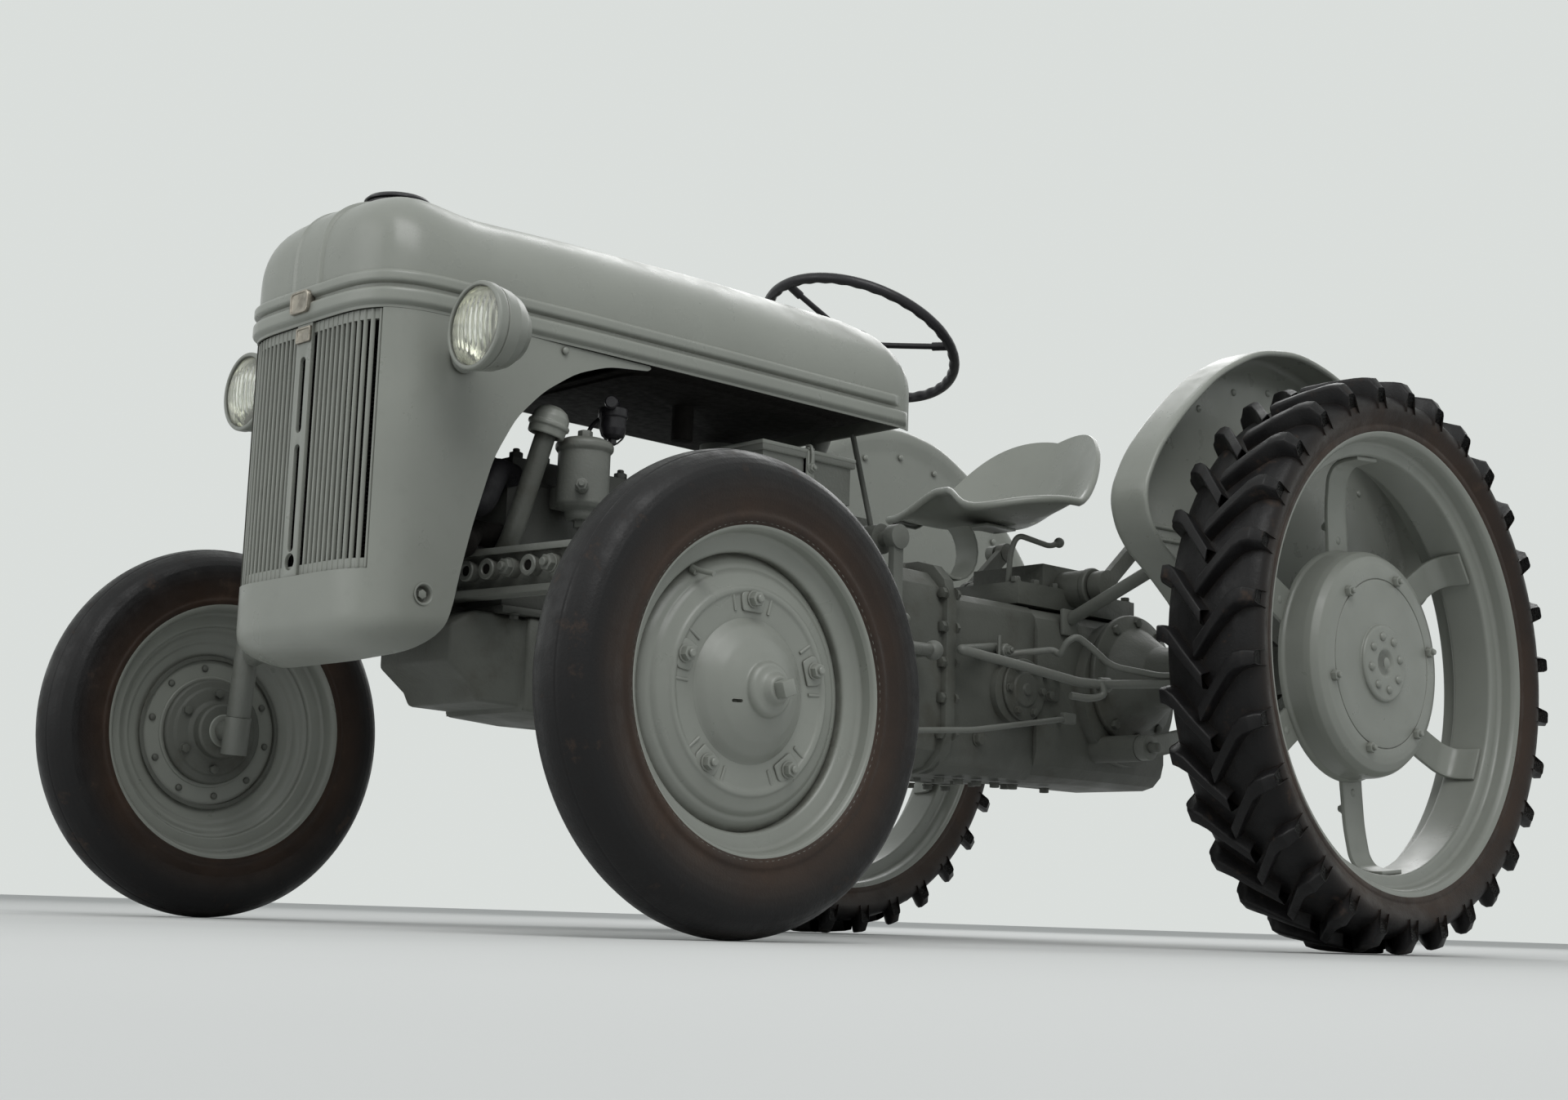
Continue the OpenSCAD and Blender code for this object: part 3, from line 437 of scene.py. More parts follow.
class Coat:
    """A material built from the shader's nodes."""

    def __init__(self, name):
        self.material = bpy.data.materials.new(name)
        self.material.use_nodes = True
        self.tree = self.material.node_tree
        self.shader = self.tree.nodes["Principled BSDF"]
        FINISHES[name] = self.material

    def node(self, kind, links=(), values=(), **settings):
        """A shader node with its settings, the values of its inputs and the links into it."""
        made = self.tree.nodes.new("ShaderNode" + kind)
        for key, value in settings.items():
            setattr(made, key, value)
        for key, value in dict(values).items():
            made.inputs[key].default_value = value
        for key, source in dict(links).items():
            self.tree.links.new(source, made.inputs[key])
        return made

    def link(self, source, socket):
        self.tree.links.new(source, self.shader.inputs[socket])

    def place(self, centre=(0, 0, 0)):
        here = self.node("TexCoord").outputs["Object"]
        moved = self.node("Mapping", {"Vector": here}, {"Location": [-c for c in centre]})
        return moved.outputs["Vector"]

    def noise(self, at, scale, detail=4.0, rough=0.55):
        values = {"Scale": scale, "Detail": detail, "Roughness": rough}
        return self.node("TexNoise", {"Vector": at}, values).outputs["Fac"]

    def span(self, value, low, high, to_low=0.0, to_high=1.0):
        """The value eased from one range to another."""
        values = {"From Min": low, "From Max": high, "To Min": to_low, "To Max": to_high}
        made = self.node("MapRange", {"Value": value}, values, interpolation_type="SMOOTHSTEP")
        return made.outputs["Result"]

    def maths(self, kind, a, b=None):
        made = self.node("Math", operation=kind)
        for index, value in enumerate((a, b)):
            if value is None:
                continue
            if isinstance(value, (int, float)):
                made.inputs[index].default_value = value
            else:
                self.tree.links.new(value, made.inputs[index])
        return made.outputs[0]

    def blend(self, share, a, b):
        """Colour a where share is 0 and b where it is 1."""
        made = self.node("Mix", data_type="RGBA")
        self.tree.links.new(share, made.inputs["Factor"])
        for socket, value in ((made.inputs[6], a), (made.inputs[7], b)):
            if isinstance(value, (tuple, list)):
                socket.default_value = (*value[:3], 1)
            else:
                self.tree.links.new(value, socket)
        return made.outputs[2]

    def bump(self, height, distance, strength=1.0, under=None):
        links = {"Height": height} if under is None else {"Height": height, "Normal": under}
        return self.node("Bump", links, {"Strength": strength, "Distance": distance}).outputs["Normal"]

    def corners(self, distance, low=0.35, high=0.85):
        """1 in the creases, where painted shade and dirt are laid, and 0 in the open."""
        made = self.node("AmbientOcclusion", values={"Distance": distance}, samples=6)
        return self.span(made.outputs["AO"], low, high, 1.0, 0.0)

    def distance_from_axle(self, at):
        parts = self.node("SeparateXYZ", {"Vector": at})
        flat = self.maths("ADD", self.maths("MULTIPLY", parts.outputs["X"], parts.outputs["X"]),
                          self.maths("MULTIPLY", parts.outputs["Z"], parts.outputs["Z"]))
        return self.maths("SQRT", flat)


def shade(colour, factor):
    return tuple(min(1.0, c * factor) for c in colour)


def shaded_and_stained(colour, factors):
    """The colour with each of its channels darkened by its own factor."""
    return tuple(c * f for c, f in zip(colour, factors))


def paint(name, colour, rough, cloud=0.05, shade_and_grime=0.5, cast=0.0):
    """Enamel over sheet metal or castings: faint clouds, painted shade and dirt darkening the creases, an
    uneven gloss.
    """
    coat = Coat(name)
    at = coat.place()
    broad = coat.noise(at, 2.3, 3)
    base = coat.blend(coat.span(broad, 0.3, 0.7), shade(colour, 1 - cloud), shade(colour, 1 + cloud))
    fine = coat.noise(at, 38, 5, 0.6)
    base = coat.blend(coat.span(fine, 0.52, 0.72, 0, 0.16), base, shade(colour, 0.8))
    # painted shade: the creases are darkened towards a brownish near-black, with dirt mottled through it
    crease_shade_and_dust = coat.maths("MULTIPLY", coat.corners(0.03), coat.span(fine, 0.25, 0.65, 0.5, 1.0))
    base = coat.blend(coat.maths("MULTIPLY", crease_shade_and_dust, shade_and_grime), base, shaded_and_stained(colour, (0.30, 0.27, 0.24)))
    if cast:
        patch = coat.noise(at, 7.5, 6, 0.65)
        base = coat.blend(coat.span(patch, 0.5, 0.72, 0, cast), base, shaded_and_stained(colour, (0.52, 0.45, 0.38)))
    coat.link(base, "Base Color")
    coat.link(coat.span(coat.noise(at, 14, 4), 0.3, 0.75, rough - 0.06, rough + 0.12), "Roughness")
    if cast:
        grain = coat.bump(coat.noise(at, 160, 3), 0.0007)
        normal = coat.bump(coat.noise(at, 22, 4), 0.0016, 0.6, grain)
    else:
        normal = coat.bump(coat.noise(at, 420, 3), 0.00006)
    coat.link(normal, "Normal")


def rubber(name, colour, centre, bead, crown):
    """Tyre rubber: browned towards the bead, scuffed on the sidewall, dusty in the grooves."""
    coat = Coat(name)
    at = coat.place(centre)
    radius = coat.distance_from_axle(at)
    scuff = coat.noise(at, 16, 8, 0.7)
    smear = coat.noise(at, 6, 5, 0.6)
    brown = coat.maths("MULTIPLY", coat.span(radius, bead, bead + (crown - bead) * 0.75, 1, 0),
                       coat.span(smear, 0.3, 0.65, 0.55, 1))
    base = coat.blend(brown, colour, (0.040, 0.0235, 0.0155))
    marks = coat.maths("MULTIPLY", coat.span(scuff, 0.58, 0.72), 0.55)
    base = coat.blend(marks, base, (0.062, 0.040, 0.028))
    base = coat.blend(coat.maths("MULTIPLY", coat.corners(0.02), 0.35), base, (0.034, 0.027, 0.021))
    coat.link(base, "Base Color")
    coat.link(coat.span(scuff, 0.35, 0.7, 0.34, 0.62), "Roughness")
    coat.shader.inputs["Specular IOR Level"].default_value = 0.26
    normal = coat.bump(coat.noise(at, 240, 4), 0.0004)
    coat.link(coat.bump(coat.noise(at, 30, 5), 0.0012, 0.4, normal), "Normal")


def plain(name, colour, rough, metal=0.0, bump=0.0003, spots=0.35, shine=0.5):
    """A small part's finish: a faint mottle, painted shade in its creases, uneven gloss and a fine tooth.
    """
    coat = Coat(name)
    at = coat.place()
    grain = coat.noise(at, 60, 5, 0.6)
    base = coat.blend(coat.span(grain, 0.4, 0.75, 0, spots), colour, shade(colour, 0.45))
    # painted shade: the creases are darkened to a third of the colour
    base = coat.blend(coat.maths("MULTIPLY", coat.corners(0.012), 0.6), base, shade(colour, 0.3))
    coat.link(base, "Base Color")
    coat.link(coat.span(grain, 0.3, 0.8, rough - 0.08, rough + 0.14), "Roughness")
    coat.shader.inputs["Metallic"].default_value = metal
    coat.shader.inputs["Specular IOR Level"].default_value = shine
    coat.link(coat.bump(coat.noise(at, 300, 3), bump), "Normal")


def glass(name):
    """Slightly yellowed pressed glass."""
    coat = Coat(name)
    coat.shader.inputs["Base Color"].default_value = (0.94, 0.95, 0.88, 1)
    coat.shader.inputs["Transmission Weight"].default_value = 0.92
    coat.shader.inputs["IOR"].default_value = 1.47
    at = coat.place()
    coat.link(coat.span(coat.noise(at, 30, 3), 0.3, 0.8, 0.04, 0.16), "Roughness")
    coat.link(coat.bump(coat.noise(at, 90, 2), 0.0003), "Normal")


class TractorColours(bpy.types.PropertyGroup):
    """Colours of the tractor's finishes."""

    sheet_paint: FloatVectorProperty(name="Sheet paint", description="Enamel on hood, wheels and fenders",
                                     subtype="COLOR", size=3, min=0, max=1, default=(0.262, 0.274, 0.245))
    casting_paint: FloatVectorProperty(name="Casting paint", description="Worn enamel on the castings",
                                       subtype="COLOR", size=3, min=0, max=1, default=(0.104, 0.109, 0.095))
    rubber_black: FloatVectorProperty(name="Rubber", description="Tread of the tyres", subtype="COLOR",
                                      size=3, min=0, max=1, default=(0.0085, 0.008, 0.0085))
    trim_black: FloatVectorProperty(name="Trim black", description="Steering wheel, hoses and radiator",
                                    subtype="COLOR", size=3, min=0, max=1, default=(0.018, 0.017, 0.020))
    floor_grey: FloatVectorProperty(name="Floor", description="Floor under the tractor",
                                    subtype="COLOR", size=3, min=0, max=1, default=(0.62, 0.63, 0.62))


class TRACTOR_OT_finishes(bpy.types.Operator):
    """Build the finishes: enamel, casting paint, rubber, steel, glass and black trim"""

    bl_idname = "tractor.finishes"
    bl_label = "Finishes"

    def execute(self, context):
        tint = context.scene.tractor_colours
        sheet, iron = tuple(tint.sheet_paint), tuple(tint.casting_paint)
        black, trim = tuple(tint.rubber_black), tuple(tint.trim_black)
        paint("sheet_enamel", sheet, 0.31)
        paint("wheel_enamel", shade(sheet, 0.94), 0.33, cloud=0.06, shade_and_grime=0.6)
        paint("casting_enamel", iron, 0.55, cloud=0.14, shade_and_grime=0.7, cast=0.55)
        paint("rod_enamel", shade(sheet, 0.62), 0.46, cloud=0.12, shade_and_grime=0.6, cast=0.2)
        paint("engine_enamel", shade(iron, 0.5), 0.55, cloud=0.2, shade_and_grime=0.8, cast=0.7)
        rubber("front_rubber", black, (FRONT_X, 0, FRONT_Z * MM), 0.268, 0.366)
        rubber("rear_rubber", black, (FRONT_X + REAR_X * MM, 0, REAR_Z * MM), 0.486, 0.585)
        # the hood's inside: rusted brown, darkened to near-black as painted shade
        paint("under_hood", (0.030, 0.023, 0.018), 0.75, cloud=0.3, shade_and_grime=0.8, cast=0.8)
        plain("trim_black", trim, 0.35, shine=0.4)
        plain("hose_black", shade(trim, 0.6), 0.6, bump=0.0006, shine=0.25)
        # near-black: the radiator's own black, and painted shade for the fuel tank and the beam's holes
        plain("soot_black_and_shade", (0.010, 0.009, 0.008), 0.85, shine=0.15)
        plain("bright_steel", (0.36, 0.33, 0.28), 0.36, metal=0.85, spots=0.7)
        plain("reflector", (0.82, 0.82, 0.76), 0.12, metal=1.0, bump=0.00005, spots=0.05)
        glass("lens_glass")
        return {"FINISHED"}


# Sheet metal: the same plan line and crown as the CAD hood, in millimetres from the front axle

NOSE_SPINE, NOSE_REACH, NOSE_HALF, COWL_HALF = 60.0, 266.0, 245.0, 254.0
HOOD_LOW, WALL_TOP, HOOD_TOP = 1036.0, 1110.0, 1296.0
NOSE_DROP = 14.0
HOOD_BACK = -955.0
PAN_WALL, PAN_LOW = 520.0, 436.0
WAIST_X, WAIST = -155, 0.99
CORNER, CROWN = 5, 2.15  # powers of the nose's rounded plan and of the hood's crown
NECK_X = 150
OPENING_HALF, OPENING_LOW, STRIP_HALF = 205, 588, 24
# Along the hood: x, share of the cowl's width, and drop below the hood's top
HOOD_STATIONS = ((-955, 0.965, 44), (-941, 0.985, 26), (-915, 1, 12), (-845, 1, 2),
                 (-455, 1, 0), (-155, 0.99, 6), (60, 0.99, 14))
# The side panel's edge over the front axle: x and z
ARCH = ((247, 446), (199, 461), (168, 491), (152, 535), (140, 599), (119, 686), (83, 806), (39, 885),
        (-17, 942), (-88, 989), (-162, 1016), (-254, 1026))


def between(table, x, column):
    """A column of the table, read between its rows."""
    if x <= table[0][0]:
        return table[0][column]
    for a, b in zip(table, table[1:]):
        if x <= b[0]:
            return a[column] + (b[column] - a[column]) * (x - a[0]) / (b[0] - a[0])
    return table[-1][column]


def smooth(low, high, x):
    t = max(0.0, min(1.0, (x - low) / (high - low)))
    return t * t * (3 - 2 * t)


def narrowing(x):
    """Half the hood's width from its waist to the start of the nose."""
    return COWL_HALF * WAIST + (NOSE_HALF - COWL_HALF * WAIST) * smooth(WAIST_X, NOSE_SPINE, x)


def plan_line(steps_side, steps_nose, back):
    """Points down one side and round to the middle of the nose: base, spine, drop and power."""
    out = []
    for i in range(steps_side):
        t = i / steps_side
        x = back + (NOSE_SPINE - back) * (t * t * (1.6 - 0.6 * t) if back < -800 else t)
        half = COWL_HALF * between(HOOD_STATIONS, x, 1)
        if x > WAIST_X:
            half = narrowing(x)
        out.append((x, half, x, between(HOOD_STATIONS, x, 2), CROWN))
    for i in range(steps_nose + 1):
        a = math.pi / 2 * (1 - i / steps_nose)
        r = ((math.cos(a) / NOSE_REACH) ** CORNER + (math.sin(a) / NOSE_HALF) ** CORNER) ** (-1 / CORNER)
        x = NOSE_SPINE + r * math.cos(a)
        power = CROWN + 1.2 * ((x - NOSE_SPINE) / NOSE_REACH) ** 2.5
        out.append((x, max(0.0, r * math.sin(a)), NOSE_SPINE, NOSE_DROP, power))
    return out


def moulding(z, x):
    """How far the two beads stand out at a height, ending short of the hood's rear edge."""
    def bead(low, high, proud, soft):
        t = (z - low) / (high - low)
        if t <= 0 or t >= 1:
            return 0.0
        return proud * min(1, (1 - abs(2 * t - 1) ** soft))
    upper = bead(1079, 1102, 9.0, 5) * smooth(-918, -892, x)
    lower = bead(1042, 1073, 9.5, 5.5) * smooth(-948, -930, x)
    return max(upper, lower)


def crown_arc(steps, power):
    """Shares of the way in and up, from the top of the wall to the middle of the hood."""
    for i in range(1, steps + 1):
        a = math.pi / 2 * i / steps
        s = (math.cos(a) ** power + math.sin(a) ** power) ** (-1 / power) if i < steps else 1.0
        yield (max(0.0, math.cos(a)) * s if i < steps else 0.0, math.sin(a) * s)


def hood_column(base, rows, steps):
    """One line of the hood, up its wall and over to the middle."""
    x, y, spine_x, drop, power = base
    out_dir = Vector((x - spine_x, y, 0)).normalized()
    column = []
    for z in rows:
        column.append(Vector((x, y, z)) + out_dir * moulding(z, x))
    for inward, up in crown_arc(steps, power):
        column.append(Vector((spine_x + inward * (x - spine_x), inward * y,
                              WALL_TOP + up * (HOOD_TOP - drop - WALL_TOP))))
    return column


def nose_x(y, inset=0.0):
    """How far forward the nose reaches at a place across it."""
    share = max(0.0, 1 - (abs(y) / (NOSE_HALF - inset)) ** CORNER) ** (1 / CORNER)
    return NOSE_SPINE + (NOSE_REACH - inset) * share


def nose_half_at(x):
    """Half the nose's width at a place along it."""
    if x <= NOSE_SPINE:
        return narrowing(x)
    return NOSE_HALF * (1 - ((x - NOSE_SPINE) / NOSE_REACH) ** CORNER) ** (1 / CORNER)


class TRACTOR_OT_hood(bpy.types.Operator):
    """Press the hood with its two side beads, nose band and filler opening"""

    bl_idname = "tractor.hood"
    bl_label = "Hood"

    def execute(self, context):
        wall = context.scene.tractor_sizes.sheet_wall
        rows = [HOOD_LOW + i * (WALL_TOP - HOOD_LOW) / 44 for i in range(45)]
        line = plan_line(70, 44, HOOD_BACK)
        hood = self.sheet("hood_panel", [hood_column(base, rows, 26) for base in line], wall, 52)
        fixed(hood, "hood_panel", "sheet_enamel", "hood_paint", "hood")
        self.band()
        self.shade_sheet()
        return {"FINISHED"}

    def sheet(self, name, half, wall, opening):
        """Both halves as one sheet that looks outwards, with the filler's opening cut through."""
        piece = skin(name, both_halves(half), wall, reverse=True)
        if not facing_out(piece, Vector((-400, 0, 1000))):
            flip(piece)
        return cut(piece, drum("neck", opening, 160, local((NECK_X, 0, 1220)), 0, 64))

    def shade_sheet(self):
        """A near-black sheet just under the hood's own: the rust of the hood's inside, and painted shade
        over it.
        """
        half = []
        for x, y, spine_x, drop, power in plan_line(24, 22, HOOD_BACK + 12):
            edge = Vector((spine_x + (x - spine_x) * 0.98, y * 0.98, 0))
            column = [Vector((edge.x, edge.y, z)) for z in (HOOD_LOW + 6, 1062, 1086, WALL_TOP)]
            for inward, up in crown_arc(14, power):
                column.append(Vector((spine_x + inward * (edge.x - spine_x), inward * edge.y,
                                      WALL_TOP + up * (HOOD_TOP - drop - 5.5 - WALL_TOP))))
            half.append(column)
        shade_sheet = self.sheet("shade_sheet", half, 1.2, 54)
        fixed(shade_sheet, "hood_shade_sheet", "under_hood", "iron_paint")

    def band(self):
        """The raised strip up the middle of the nose, with a bead along each edge."""
        power = 3.35
        rise = HOOD_TOP - NOSE_DROP - WALL_TOP
        columns = []
        for k in range(29):
            y = -48 + 96 * k / 28
            edge = min(1.0, (48 - abs(y)) / 4)
            lift = 3.6 * smooth(0, 1, edge) + 2.4 * math.exp(-((abs(y) - 41) / 3.6) ** 2)
            column = []
            for i in range(46):
                if i < 6:
                    inward, up, z = 1.0, 0.0, 1082 + (WALL_TOP - 1082) * i / 6
                    normal = Vector((1, 0, 0))
                else:
                    a = math.radians(74) * (i - 6) / 39
                    s = (math.cos(a) ** power + math.sin(a) ** power) ** (-1 / power)
                    inward, up = math.cos(a) * s, math.sin(a) * s
                    z = WALL_TOP + up * rise
                    normal = Vector((inward ** (power - 1) / NOSE_REACH, 0,
                                     up ** (power - 1) / rise)).normalized()
                share = (1 - (abs(y) / (inward * NOSE_HALF)) ** CORNER) ** (1 / CORNER)
                x = NOSE_SPINE + inward * NOSE_REACH * share
                fade = smooth(0, 3, i) if i < 6 else 1.0 - smooth(42, 45, i)
                column.append(Vector((x, y, z)) + normal * (lift * fade - 0.6))
            columns.append(column)
        strip = skin("nose_band", columns, 2.0)
        fixed(strip, "nose_band", "sheet_enamel", "hood_paint")
        boss = settle(self.plate(29, 20, 18, 11), standing(nose_x(0) - 2, 1072))
        small = settle(self.plate(23, 14, 5, 3), standing(nose_x(0) - 1.5, 1016))
        fixed(joined(boss, small), "nose_boss", "bright_steel", "bare_steel")

    def plate(self, wide, high, depth, round_off):
        """A bare plate with rounded corners and a raised border."""
        def corners(x, y):
            return eased([(-x, 0), (-x, -y), (x, -y), (x, y), (-x, y), (-x, 0)], round_off, 5)
        body = slab("plate", corners(wide, high), depth)
        tool = slab("recess", corners(wide - 4, high - 4), 6)
        settle(tool, Matrix.Translation((0, 0, depth - 1.6)))
        return rounded(cut(body, tool), 0.7, 2, 50)


def facing_out(piece, inside):
    """Whether most of the skin looks away from a point within it."""
    total = 0.0
    for face in piece.data.polygons:
        total += face.area * (face.center - inside).dot(face.normal) / 1000
    return total >= 0 or not inside_out(piece)


class TractorSizes(bpy.types.PropertyGroup):
    """Sizes in millimetres that a user would change."""

    sheet_wall: FloatProperty(name="Sheet wall", description="Thickness of the sheet metal in millimetres",
                              default=3.0, min=1.5, max=5.0)
    lug_height: FloatProperty(name="Lug height", description="Height of a rear tyre's bars in millimetres",
                              default=30.0, min=15.0, max=40.0)
    rib_depth: FloatProperty(name="Rib depth", description="Depth of a front tyre's grooves in millimetres",
                             default=0.7, min=0.3, max=8.0)
    bar_count: IntProperty(name="Grille bars", description="Bars in each half of the grille",
                           default=12, min=8, max=14)


def panel(half, low, high):
    """An upright rectangle with its corners barely eased."""
    return eased([(-half, low), (half, low), (half, high), (-half, high), (-half, low)], 1)


BOLT_X, BOLT_Z = 209, 552  # the bolts sunk in the nose's lower corners


class TRACTOR_OT_nose(bpy.types.Operator):
    """Press the nose: side panels, arch and lower pan in one shell"""

    bl_idname = "tractor.nose"
    bl_label = "Nose"

    def execute(self, context):
        wall = context.scene.tractor_sizes.sheet_wall
        half = []
        for x, y, _, _, power in plan_line(30, 56, -262):
            base = Vector((x, min(y, NOSE_HALF), 0))
            column = [Vector((base.x, base.y, z)) for z in
                      [HOOD_LOW - 0.6 - i * (HOOD_LOW - 0.6 - PAN_WALL) / 30 for i in range(31)]]
            spine = Vector((min(x, NOSE_SPINE), 0, 0))
            for inward, down in crown_arc(20, power):
                column.append(Vector((spine.x + inward * (base.x - spine.x), inward * base.y,
                                      PAN_WALL - down * (PAN_WALL - PAN_LOW))))
            half.append(column)
        shell = skin("nose_shell", both_halves(half), wall)
        ahead = NOSE_SPINE + NOSE_REACH + 20
        side = [(ahead, 400), (252, 400)] + eased([(252, 430)] + list(ARCH), 25, 3)
        side += eased([(-254, 1026), (-262, 1031), (-256, 1037)], 6, 3)[1:]
        side += [(-256, HOOD_LOW + 4), (ahead, HOOD_LOW + 4)]
        prism = slab("arch", side, 700)
        settle(prism, Matrix.Translation((0, 350, 0)) @ Matrix.Rotation(math.pi / 2, 4, "X"))
        cut(shell, prism, "INTERSECT")
        opening = slab("opening", panel(OPENING_HALF, OPENING_LOW, 1045), 300)
        cut(shell, settle(opening, standing(180)))
        for side in (-1, 1):
            inward = local((BOLT_X, side * 270, BOLT_Z), (0, -side, 0))
            cut(shell, drum("recess", 17, 60, inward, 0, 40))
        fixed(shell, "nose_shell", "wheel_enamel", "body_paint", "side_panels", "nose_pan")
        self.fasteners()
        return {"FINISHED"}

    def fasteners(self):
        """The bolts sunk in the lower corners and the round screws along the side panels."""
        parts = []
        for side in (-1, 1):
            out = local((BOLT_X, side * (nose_half_at(BOLT_X) - 14), BOLT_Z), (0, side, 0))
            well = turned("well", [(0, 0), (15, 0), (17, 6), (18.5, 13), (20, 15.2), (16.6, 15.4),
                                   (14.5, 12), (13, 2.5), (0, 2.5)], 48, 0.8)
            parts.append(settle(well, out))
            parts.append(settle(hex_bolt(15, 8), out @ Matrix.Translation((0, 0, 2.5))))
            parts += [settle(round_head(7, 4), local((x, side * (nose_half_at(x) + 0.2), z), (0, side, 0)))
                      for x, z in ((-58, 1024), (60, 1024))]
        fixed(joined(*parts), "panel_bolts", "wheel_enamel", "body_paint")


class TRACTOR_OT_grille(bpy.types.Operator):
    """Set the upright bars, the middle strip with its slots and the rails behind them"""

    bl_idname = "tractor.grille"
    bl_label = "Grille"

    def execute(self, context):
        count = context.scene.tractor_sizes.bar_count
        low, high = OPENING_LOW + 0.3, 1035.7
        pitch = (OPENING_HALF - STRIP_HALF) / (count + 0.5)
        half = pitch * 0.235
        section = [(-1, -half), (2.5, -half), (5.8, -half * 0.6), (7.0, 0), (5.8, half * 0.6), (2.5, half),
                   (-1, half)]
        bars = []
        for side in (-1, 1):
            for i in range(1, count + 1):
                y = side * (STRIP_HALF + i * pitch)
                bar = slab("bar", eased(section + [section[0]], 2, 2), high - low - 2)
                settle(bar, local((nose_x(y) - 11, y, low + 1)))
                bars.append(bar)
        field = joined(*bars)
        strip = slab("strip", panel(STRIP_HALF, low, high), 7)
        for shape in (self.slot(9, 850, 968), self.slot(9, 640, 812)):
            cut(strip, shape)
        cut(strip, drum("crank_hole", 15, 60, local((0, 614, -10)), 0, 40))
        rounded(strip, 1.6, 2, 50)
        settle(strip, standing(nose_x(0) - 8))
        rails = []
        for z in (low, high - 18):
            rail = slab("rail", [(nose_x(y, 6) - 12, y) for y in range(-204, 205, 12)]
                        + [(nose_x(y, 6), y) for y in range(204, -205, -12)], 18)
            settle(rail, local((0, 0, z)))
            rails.append(rail)
        whole = joined(field, strip, *rails)
        self.core()
        fixed(whole, "grille_bars", "wheel_enamel", "body_paint", "grille")
        return {"FINISHED"}

    def core(self):
        """The radiator's fins and tubes, close behind the bars."""
        fins = [local((207, 0, 614 + 8 * i)) for i in range(52)]
        tubes = [local((207, -198 + 11 * i, 820)) for i in range(37)]
        core = joined(repeated(block("fin", (6, 404, 1.6), edge=0), fins),
                      repeated(block("tube", (5, 3, 412), edge=0), tubes))
        fixed(core, "radiator_fins", "soot_black_and_shade", "black_trim")

    def slot(self, half, low, high):
        """An upright slot with round ends."""
        arc = []
        for start, middle_z in ((0, high), (math.pi, low)):
            angles = [start + i * math.pi / 10 for i in range(11)]
            arc += [(half * math.cos(a), middle_z + half * math.sin(a)) for a in angles]
        return settle(slab("slot", arc, 60), Matrix.Translation((0, 0, -20)))


LAMP_X, LAMP_Y, LAMP_Z = 130, 370, 990  # the back of a headlamp's shell
ARM_X, ARM_Z = 160, 966
BOWED, LENS_R, FLUTE = 16, 68, 12.5  # how far the lens bows out, its radius and a flute's width


class TRACTOR_OT_lamps(bpy.types.Operator):
    """Spin the headlamp shells, rims, reflectors and fluted lenses"""

    bl_idname = "tractor.lamps"
    bl_label = "Headlamps"

    def execute(self, context):
        facing = (0, math.pi / 2, 0)
        shells, mirrors, lenses = [], [], []
        for _, side in SIDES:
            place = spot(LAMP_X, side * LAMP_Y, LAMP_Z, facing)
            shell = turned("shell", [(0, 0), (22, 1), (46, 12), (62, 32), (70, 52), (73.5, 74), (73.5, 77),
                                     (71.5, 78.5), (71.5, 79.5), (74.5, 80.5), (76, 84), (76, 96), (74, 99),
                                     (69, 99.5), (67.5, 97), (67.5, 92), (70, 88), (70, 70), (60, 40),
                                     (40, 20), (0, 16), (0, 0)], 72, 1.2)
            settle(shell, place)
            arm = tube("arm", [(ARM_X, side * y, ARM_Z) for y in (366, 290, 254)], 12, 10)
            foot = drum("foot", 26, 9, local((ARM_X, side * 245.5, ARM_Z), (0, side, 0)), 3)
            for part in (arm, foot):
                settle(part, spot())
            shells += [shell, arm, foot]
            bowl = turned("bowl", [(0, 20), (12, 21), (34, 32), (54, 56), (66, 90), (67, 90), (56, 57),
                                   (36, 31), (12, 19), (0, 18), (0, 20)], 56)
            bulb = turned("bulb", [(0, 20), (5, 20), (5, 34), (8, 40), (9, 48), (6, 54), (0, 57)], 24)
            mirrors.append(settle(joined(bowl, bulb), place))
            lenses.append(settle(self.lens(), place))
        finished(joined(*shells), "headlamp_shells", "chassis", "wheel_enamel",
                 ("headlamps",))
        finished(joined(*mirrors), "headlamp_reflectors", "chassis", "reflector")
        finished(joined(*lenses), "headlamp_lenses", "chassis", "lens_glass", ("lamp_lenses",))
        return {"FINISHED"}

    def lens(self):
        """A bowed disc with upright flutes over its middle."""
        bow = [(r, 92 + BOWED * (1 - (r / LENS_R) ** 2) + 2) for r in range(0, LENS_R + 1, 2)]
        lens = turned("lens", [(0, 92)] + bow + [(LENS_R, 92), (0, 92)], 144)
        for vertex in lens.data.vertices:
            x, y, z = vertex.co
            if z > 93 and x * x + y * y < 62 ** 2:
                band = smooth(-52, -30, x) * (1 - smooth(26, 52, x))
                vertex.co.z += 0.9 * math.sin(y * math.tau / FLUTE) * band
        return lens


# Front wheels and tyres


